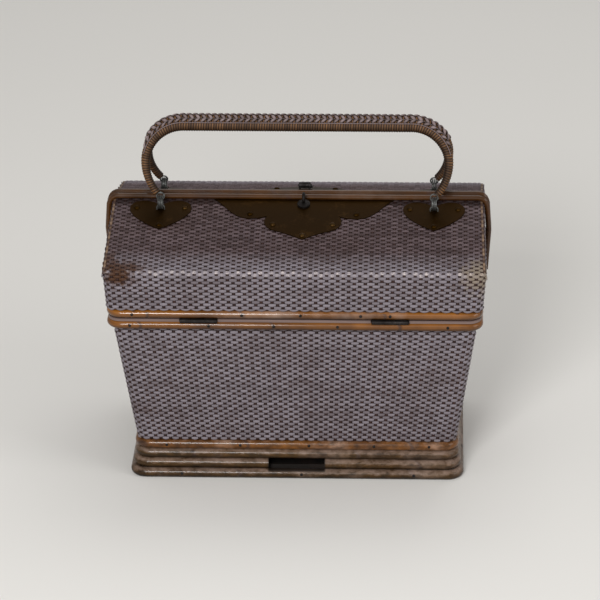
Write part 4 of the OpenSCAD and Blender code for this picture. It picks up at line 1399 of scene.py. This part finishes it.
@painted
def weaver_cane(tree, c):
    """Pale split cane of the weavers, darker with painted shade at its edges, behind the stakes and on the
    roof, and with painted glints along the ridge.
    """
    s, _ = measures()
    over = tree.value("over")
    tone = tree.value("tone")
    fibre = tree.fibre((1.0, 1.0, 5.0), 260.0)
    # Painted shade: the weaver darkens towards its edges and where it goes behind the stakes.
    rim = tree.spread(tree.value("edge"), 0.70, 1.0)
    pale = tree.times(tree.spread(over, 0.02, 0.22), tree.scaled(rim, -0.30, 1.0))
    varied = tree.times(pale, tree.scaled(tone, 0.75, 0.42), clamp=True)
    streaked = tree.times(varied, tree.scaled(fibre["Streak"], 0.35, 0.75), clamp=True)
    base = tree.blend(streaked, c.weaver_dark_and_shade, c.weaver_light)
    # Painted highlight: pale specks on the crests of the ridge rows, whose tone is raised above 1.
    rubbed = tree.times(tree.spread(tone, 0.98, 1.45), tree.spread(over, 0.55, 0.95))
    specks = tree.spread(tree.noise(tree.place(PLAIN_SCALE), 900.0, 2.0, 0.6), 0.38, 0.62)
    base = tree.blend(tree.times(rubbed, specks), base, c.weaver_glint)
    # Painted shade: the roof's weave is multiplied darker above the ridge.
    roof = tree.spread(tree.axes()["Z"], s.ridge_z + ROOF_PAINTED_SHADE_START, s.ridge_z + ROOF_PAINTED_SHADE_END)
    shade = tree.blend(streaked, ROOF_PAINTED_SHADE_DARK, ROOF_PAINTED_SHADE_LIGHT)
    base = tree.blend(roof, base, shade, "MULTIPLY")
    worn = tree.stained(base, c.stain, 0.30, 16.0)
    for centre, stretch, radius, tint, amount in (
        ((-0.137, -0.094, 0.184), (0.7, 1.0, 1.0), 0.011, c.scuff, 1.0),
        ((-0.149, -0.082, 0.192), (1.0, 0.8, 0.9), 0.011, c.scuff, 0.90),
        ((-0.133, -0.088, 0.190), (0.45, 1.0, 1.0), 0.009, c.scuff, 0.80),
        ((0.147, -0.090, 0.187), (0.8, 1.0, 0.7), 0.014, YELLOWED, 0.50),
        ((-0.126, -0.076, 0.060), (0.4, 1.0, 1.0), 0.007, c.stain, 0.35),
    ):
        spot = tree.group(worn_place(), Centre=centre, Stretch=stretch, Radius=radius)
        worn = tree.blend(tree.times(spot["Mask"], amount), worn, tint)
    return {
        "Base Color": worn,
        "Roughness": tree.scaled(streaked, -0.16, 0.66),
        "Specular IOR Level": 0.30,
        "Normal": tree.bump(fibre["Height"], 0.35, FINE_BUMP),
    }


@painted
def stake_cane(tree, c):
    """Dark reddish cane of the stakes."""
    fibre = tree.fibre((5.0, 5.0, 1.0), 240.0)
    share = tree.scaled(tree.value("tone"), 0.5, tree.times(fibre["Streak"], 0.5))
    dark, light = (tuple(gain * v for v in c.stake) for gain in (0.35, 1.9))
    return {
        "Base Color": tree.blend(share, dark, light),
        "Roughness": tree.scaled(share, -0.15, 0.68),
        "Specular IOR Level": 0.25,
        "Normal": tree.bump(fibre["Height"], 0.3, FINE_BUMP),
    }


@painted
def lining_cane(tree, c):
    """Inside of the weave, with its own over and under pattern."""
    across = tree.math("COSINE", tree.times(tree.value("stake"), math.pi))
    row = tree.times(tree.value("row"), math.pi)
    ribs = tree.math("ABSOLUTE", tree.math("SINE", row))
    swing = tree.spread(tree.times(across, tree.math("COSINE", row)), -0.5, 0.6)
    fibre = tree.fibre((1.0, 1.0, 4.0), 220.0)
    share = tree.times(swing, tree.scaled(fibre["Streak"], 0.5, 0.5))
    base = tree.blend(share, c.lining_dark, c.lining_light)
    return {
        "Base Color": tree.stained(base, c.stain, 0.35, 12.0),
        "Roughness": tree.scaled(share, -0.15, 0.70),
        "Normal": tree.bump(tree.scaled(swing, 0.7, tree.times(ribs, 0.3)), 0.9, 0.0007),
    }


@painted
def rod_cane(
    tree, c, light, dark, joints=11.0, layers=124.7, polish=0.7, rubbing=0.45, span=None, dull_tops=None
):
    """Polished cane of the rods, with long streaks and dark joints that differ from layer to layer.

    A rod that lies level between the two heights in span is darker below, as painted shade. Between the two
    heights in dull_tops it turns from its own colour to a dull, mottled grey.
    """
    fibre = tree.fibre((5.0, 5.0, 260.0), 2.2)
    axes = tree.axes()
    layer = tree.math("FLOOR", tree.times(axes["Z"], layers))
    along = tree.scaled(axes["Y"], 1.37, axes["X"])
    place = {"W": tree.scaled(along, joints, tree.times(layer, 7.31)), "Scale": 1.0}
    edge = tree.add("ShaderNodeTexVoronoi", voronoi_dimensions="1D", feature="DISTANCE_TO_EDGE")
    cell = tree.add("ShaderNodeTexVoronoi", voronoi_dimensions="1D", feature="F1")
    tree.feed(edge, place)
    tree.feed(cell, place)
    ring = tree.spread(edge.outputs["Distance"], 0.006, 0.022, 1.0, 0.0)
    tint = tree.add("ShaderNodeSeparateColor", {"Color": cell.outputs["Color"]}).outputs[0]
    patch = tree.spread(tree.noise(tree.place((1.0, 1.0, 0.4)), 48.0, 3.0, 0.55), 0.32, 0.66)
    varied = tree.scaled(tint, 0.30, tree.times(patch, 0.30))
    share = tree.scaled(fibre["Streak"], 0.40, varied, clamp=True)
    skin = tree.blend(tree.times(ring, 0.75), tree.blend(share, dark, light), c.stain)
    skin = tree.stained(skin, c.rod_worn, rubbing, 26.0)
    skin = tree.stained(skin, c.stain, 0.6, 19.0)
    # Painted shade: a level rod darkens towards its underside.
    if span:
        skin = tree.blend(1.0, skin, tree.spread(axes["Z"], *span, 0.22, 1.2), "MULTIPLY")
    # The rod turns to a dull, mottled grey towards its top.
    if dull_tops:
        patches = tree.noise(tree.place((1.0, 1.0, 2.0)), 150.0, 5.0, 0.68)
        skin = tree.blend(0.75, skin, tree.spread(patches, 0.30, 0.62), "MULTIPLY")
        ragged = tree.scaled(patches, 2.2, tree.times(tree.spread(axes["Z"], *dull_tops), 0.8))
        skin = tree.blend(tree.times(tree.spread(ragged, 1.45, 2.15), 0.70), skin, c.rod_dull)
    # Painted shade: near black where the rods lie within the slots.
    between = tree.spread(tree.math("ABSOLUTE", axes["X"]), *SLOT_SHADE_X)
    level_with = tree.times(
        tree.spread(axes["Z"], *SLOT_SHADE_LOW), tree.spread(axes["Z"], *SLOT_SHADE_HIGH)
    )
    slot_shade = tree.times(tree.times(between, level_with), 0.93)
    return {
        "Base Color": tree.blend(slot_shade, skin, SLOT_SHADE_TINT),
        "Roughness": tree.scaled(share, -0.14, 0.46),
        "Specular IOR Level": 0.15,
        "Coat Weight": polish,
        "Coat Roughness": 0.09,
        "Normal": tree.bump(tree.scaled(ring, 1.0, tree.times(fibre["Height"], 0.45)), 0.5, 0.0004),
    }


@painted
def flat_cane(tree, c, tint):
    """Flat bamboo or cane of the plinth's band, the rim strip and the strap's boards, whose near-black tint
    is painted shade.
    """
    fibre = tree.fibre((4.0, 4.0, 420.0), 2.0)
    base = tree.blend(fibre["Streak"], tuple(0.40 * v for v in tint), tint)
    return {
        "Base Color": tree.stained(base, c.stain, 0.6, 18.0),
        "Roughness": tree.scaled(fibre["Streak"], -0.15, 0.62),
        "Normal": tree.bump(fibre["Height"], 0.4, 0.0003),
    }


@painted
def wrap_cane(tree, c):
    """Fine cane wrapped round the handles, with painted shade in its grooves and under the grip."""
    # worn is high on the wrap's top, where the cane is worn paler; towards the underside and in the grooves
    # it darkens as painted shade.
    worn = tree.spread(tree.value("top"), 0.10, 0.75)
    patches = tree.noise(tree.place(PLAIN_SCALE), 45.0, 4.0, 0.6)
    share = tree.times(tree.math("POWER", tree.value("crest"), 1.8), tree.scaled(worn, 0.75, 0.12))
    share = tree.times(share, tree.scaled(tree.value("tone"), 0.8, 0.6))
    share = tree.times(share, tree.scaled(patches, 1.3, 0.5), clamp=True)
    fibre = tree.fibre((3.0, 1.0, 1.0), 300.0)
    return {
        "Base Color": tree.blend(share, c.wrap_dark_and_shade, c.wrap_light),
        "Roughness": tree.scaled(share, -0.12, 0.55),
        "Specular IOR Level": 0.20,
        "Normal": tree.bump(fibre["Height"], 0.3, FINE_BUMP),
    }


@painted
def plait_cane(tree, c):
    """Plaited cane of the handles, pale on its crests and darker at its edges with painted shade."""
    # Painted shade: the plait darkens towards its edges, where crest is low.
    pale = tree.spread(tree.value("crest"), 0.25, 0.95)
    patches = tree.noise(tree.place(PLAIN_SCALE), 60.0, 4.0, 0.6)
    share = tree.times(pale, tree.scaled(tree.value("tone"), 0.5, 0.55))
    share = tree.times(share, tree.scaled(patches, 1.2, 0.4), clamp=True)
    fibre = tree.fibre((1.0, 2.0, 2.0), 320.0)
    return {
        "Base Color": tree.blend(share, c.plait_dark_and_shade, c.plait_light),
        "Roughness": tree.scaled(share, -0.14, 0.60),
        "Specular IOR Level": 0.25,
        "Normal": tree.bump(fibre["Height"], 0.35, FINE_BUMP),
    }


@painted
def old_metal(tree, c, bright, dark, scale, wear, metallic, strength):
    """Metal gone dark, with some bright wear."""
    tints = {"Bright": getattr(c, bright), "Dark": getattr(c, dark)}
    old = tree.group(tarnished_metal(), **tints, Scale=scale, Wear=wear)
    return {
        "Base Color": old["Color"],
        "Roughness": old["Roughness"],
        "Metallic": metallic,
        "Normal": tree.bump(old["Height"], strength, 0.0003),
    }


def metal(name):
    """One of the bag's metals."""
    return old_metal(name, *METALS[name])


@painted
def pale_floor(tree, _, tint):
    """Plain pale floor, a little uneven."""
    shade = tree.times(tree.noise(tree.place(PLAIN_SCALE), 3.0, 2.0, 0.5), 0.12)
    base = tree.blend(shade, tint, tuple(0.92 * v for v in tint))
    return {"Base Color": base, "Roughness": 0.9, "Specular IOR Level": 0.1}


def finish_node(node, material):
    """Gives a solid of the frame its finish."""
    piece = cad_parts[node]
    piece.data.materials.clear()
    piece.data.materials.append(material)


class HANDBAG_OT_finish_rods(bpy.types.Operator):
    """Finishes the rods, the band and the rim strip in polished cane"""

    bl_idname = "handbag.finish_rods"
    bl_label = "Finish the rods"

    def execute(self, context):
        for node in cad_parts:
            cane = self.cane(node, context.scene.handbag_colours)
            if cane:
                finish_node(node, cane)
        return {"FINISHED"}

    def cane(self, node, c):
        """Finish of a rod, the band or the strip, which follows its heights, or none for another node."""
        low, high = (corner[2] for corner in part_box(node))
        span = (mix(low, high, 0.1), mix(low, high, 0.9))
        polished = (c.rod_light, c.rod_dark)
        if node == "plinth_top_rod":
            dull_tops = (mix(low, high, 0.75), mix(low, high, 1.15))
            return rod_cane("Plinth top rod cane", *polished, 9.0, polish=0.4, dull_tops=dull_tops)
        if node.startswith("plinth_") and node.endswith("_rod"):
            name = node.replace("_", " ").capitalize() + " cane"
            dull_tops = (mix(low, high, 0.40), mix(low, high, 0.90))
            skin = (c.plinth_light, c.plinth_dark)
            return rod_cane(name, *skin, 9.0, polish=0.25, span=span, dull_tops=dull_tops)
        if node.endswith("_edge_rod"):
            return rod_cane("Edge rod cane", c.edge_light, c.edge_dark, 8.0, 0.0, 0.4, 0.1)
        if node == "body_rim_rod":
            return rod_cane("Body rod cane", *polished, polish=0.5, rubbing=0.0, span=span)
        if node.endswith("_rim_rod"):
            return rod_cane("Lid rod cane", *polished, span=span)
        if node.endswith("_rod"):
            return rod_cane("Inner rod cane", *polished)
        if node == "plinth_band":
            return flat_cane("Bamboo band", c.band)
        if node == "rim_strip":
            return flat_cane("Strip cane", c.strip)
        return None


class HANDBAG_OT_finish_metal(bpy.types.Operator):
    """Finishes the brass plates and the ironwork"""

    bl_idname = "handbag.finish_metal"
    bl_label = "Finish the metal"

    def execute(self, context):
        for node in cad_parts:
            if node.endswith("_plate_nails"):
                finish_node(node, metal("Brass nail heads"))
            elif node.endswith(("_heart", "_lock_plate")):
                finish_node(node, metal("Old brass"))
            elif node.endswith(("_handle_staples", "_eyes", "_rings")):
                finish_node(node, metal("Wire"))
            elif "hinge" in node or node.startswith("hasp") or node.endswith("_staple"):
                finish_node(node, metal("Dark iron"))
        return {"FINISHED"}


# Stage

FLOOR_SIZE = 14.0
SKY_TINT = (1.0, 0.99, 0.97)
TOP_LIGHT_SHARE = 0.6


class HANDBAG_OT_set_stage(bpy.types.Operator):
    """Sets the pale floor, the soft light and the camera"""

    bl_idname = "handbag.set_stage"
    bl_label = "Set the stage"

    def execute(self, context):
        g = context.scene.handbag_stage
        context.scene.view_settings.view_transform = "Standard"
        self.floor(context, g)
        self.sky(context, g)
        self.lamp("Key light", (-0.5, -2.3, 1.35), (0, 0, 0.10), 0.75, g.key_power)
        self.lamp("Fill light", (1.9, -0.9, 1.0), (0, 0, 0.12), 1.2, g.fill_power)
        self.lamp("Top light", (0.2, 0.9, 1.9), (0, 0, 0.15), 1.2, g.fill_power * TOP_LIGHT_SHARE)
        self.camera(context, g)
        return {"FINISHED"}

    def floor(self, context, g):
        """Makes the floor, which reaches far past the view."""
        start_fresh()
        bpy.ops.mesh.primitive_plane_add(size=FLOOR_SIZE, location=(0, 0, 0))
        floor = context.object
        floor.name = "floor"
        bpy.ops.object.mode_set(mode="EDIT")
        bpy.ops.mesh.select_all(action="SELECT")
        bpy.ops.mesh.subdivide(number_cuts=6)
        bpy.ops.object.mode_set(mode="OBJECT")
        floor.data.materials.append(pale_floor("Pale floor", tuple(g.floor)))

    def sky(self, context, g):
        """Lights evenly from all round."""
        world = bpy.data.worlds.new("Pale room")
        context.scene.world = world
        world.use_nodes = True
        world.node_tree.nodes.clear()
        tree = Tree(world.node_tree)
        even = tree.add("ShaderNodeBackground", {"Color": SKY_TINT, "Strength": g.sky})
        tree.add("ShaderNodeOutputWorld", {"Surface": even.outputs[0]})

    def lamp(self, name, place, target, size, power):
        """Adds one square soft light that looks at a target."""
        data = bpy.data.lights.new(name, "AREA")
        data.energy = power
        data.shape = "SQUARE"
        data.size = size
        lamp = bpy.data.objects.new(name, data)
        bpy.context.scene.collection.objects.link(lamp)
        lamp.location = place
        lamp.rotation_euler = (Vector(target) - Vector(place)).to_track_quat("-Z", "Y").to_euler()

    def camera(self, context, g):
        """Places the camera where the photographer stood."""
        ca, sa = math.cos(g.azimuth), math.sin(g.azimuth)
        ce, se = math.cos(g.elevation), math.sin(g.elevation)
        cr, sr = math.cos(g.roll), math.sin(g.roll)
        back = Vector((sa * ce, -ca * ce, se))
        right = Vector((ca, sa, 0.0))
        up = back.cross(right)
        data = bpy.data.cameras.new("Camera")
        data.lens = g.lens
        data.sensor_width = 36.0
        data.clip_end = 50.0
        camera = bpy.data.objects.new("Camera", data)
        context.scene.collection.objects.link(camera)
        turn = Matrix((right * cr - up * sr, right * sr + up * cr, back)).transposed().to_4x4()
        spot = Vector((g.target_x, 0.0, g.target_z)) + back * g.distance
        camera.matrix_world = Matrix.Translation(spot) @ turn
        context.scene.camera = camera


class HANDBAG_PT_panel(bpy.types.Panel):
    """Lists the steps of the handbag"""

    bl_idname = "HANDBAG_PT_panel"
    bl_label = "Handbag"
    bl_space_type = "VIEW_3D"
    bl_region_type = "UI"
    bl_category = "Handbag"

    def draw(self, context):
        for step in STEPS:
            self.layout.operator(step.bl_idname)


GROUPS = {
    "handbag_shape": HandbagShape,
    "handbag_weave": HandbagWeave,
    "handbag_handle": HandbagHandle,
    "handbag_colours": HandbagColours,
    "handbag_stage": HandbagStage,
}

STEPS = (
    HANDBAG_OT_set_stage,
    HANDBAG_OT_weave_body,
    HANDBAG_OT_weave_lids,
    HANDBAG_OT_wrap_handles,
    HANDBAG_OT_plait_handles,
    HANDBAG_OT_line_slots,
    HANDBAG_OT_nail_rods,
    HANDBAG_OT_nail_plates,
    HANDBAG_OT_finish_rods,
    HANDBAG_OT_finish_metal,
)


def register():
    """Registers the sizes, the steps and the panel."""
    for name, group in GROUPS.items():
        bpy.utils.register_class(group)
        setattr(bpy.types.Scene, name, bpy.props.PointerProperty(type=group))
    for step in STEPS:
        bpy.utils.register_class(step)
    bpy.utils.register_class(HANDBAG_PT_panel)


def unregister():
    """Removes what register added."""
    bpy.utils.unregister_class(HANDBAG_PT_panel)
    for step in reversed(STEPS):
        bpy.utils.unregister_class(step)
    for name, group in reversed(GROUPS.items()):
        delattr(bpy.types.Scene, name)
        bpy.utils.unregister_class(group)


def main():
    """Makes the whole handbag."""
    register()
    bpy.ops.handbag.set_stage()
    bpy.ops.handbag.weave_body()
    bpy.ops.handbag.weave_lids()
    bpy.ops.handbag.wrap_handles()
    bpy.ops.handbag.plait_handles()
    bpy.ops.handbag.line_slots()
    bpy.ops.handbag.nail_rods()
    bpy.ops.handbag.nail_plates()
    bpy.ops.handbag.finish_rods()
    bpy.ops.handbag.finish_metal()


if __name__ == "__main__":
    main()
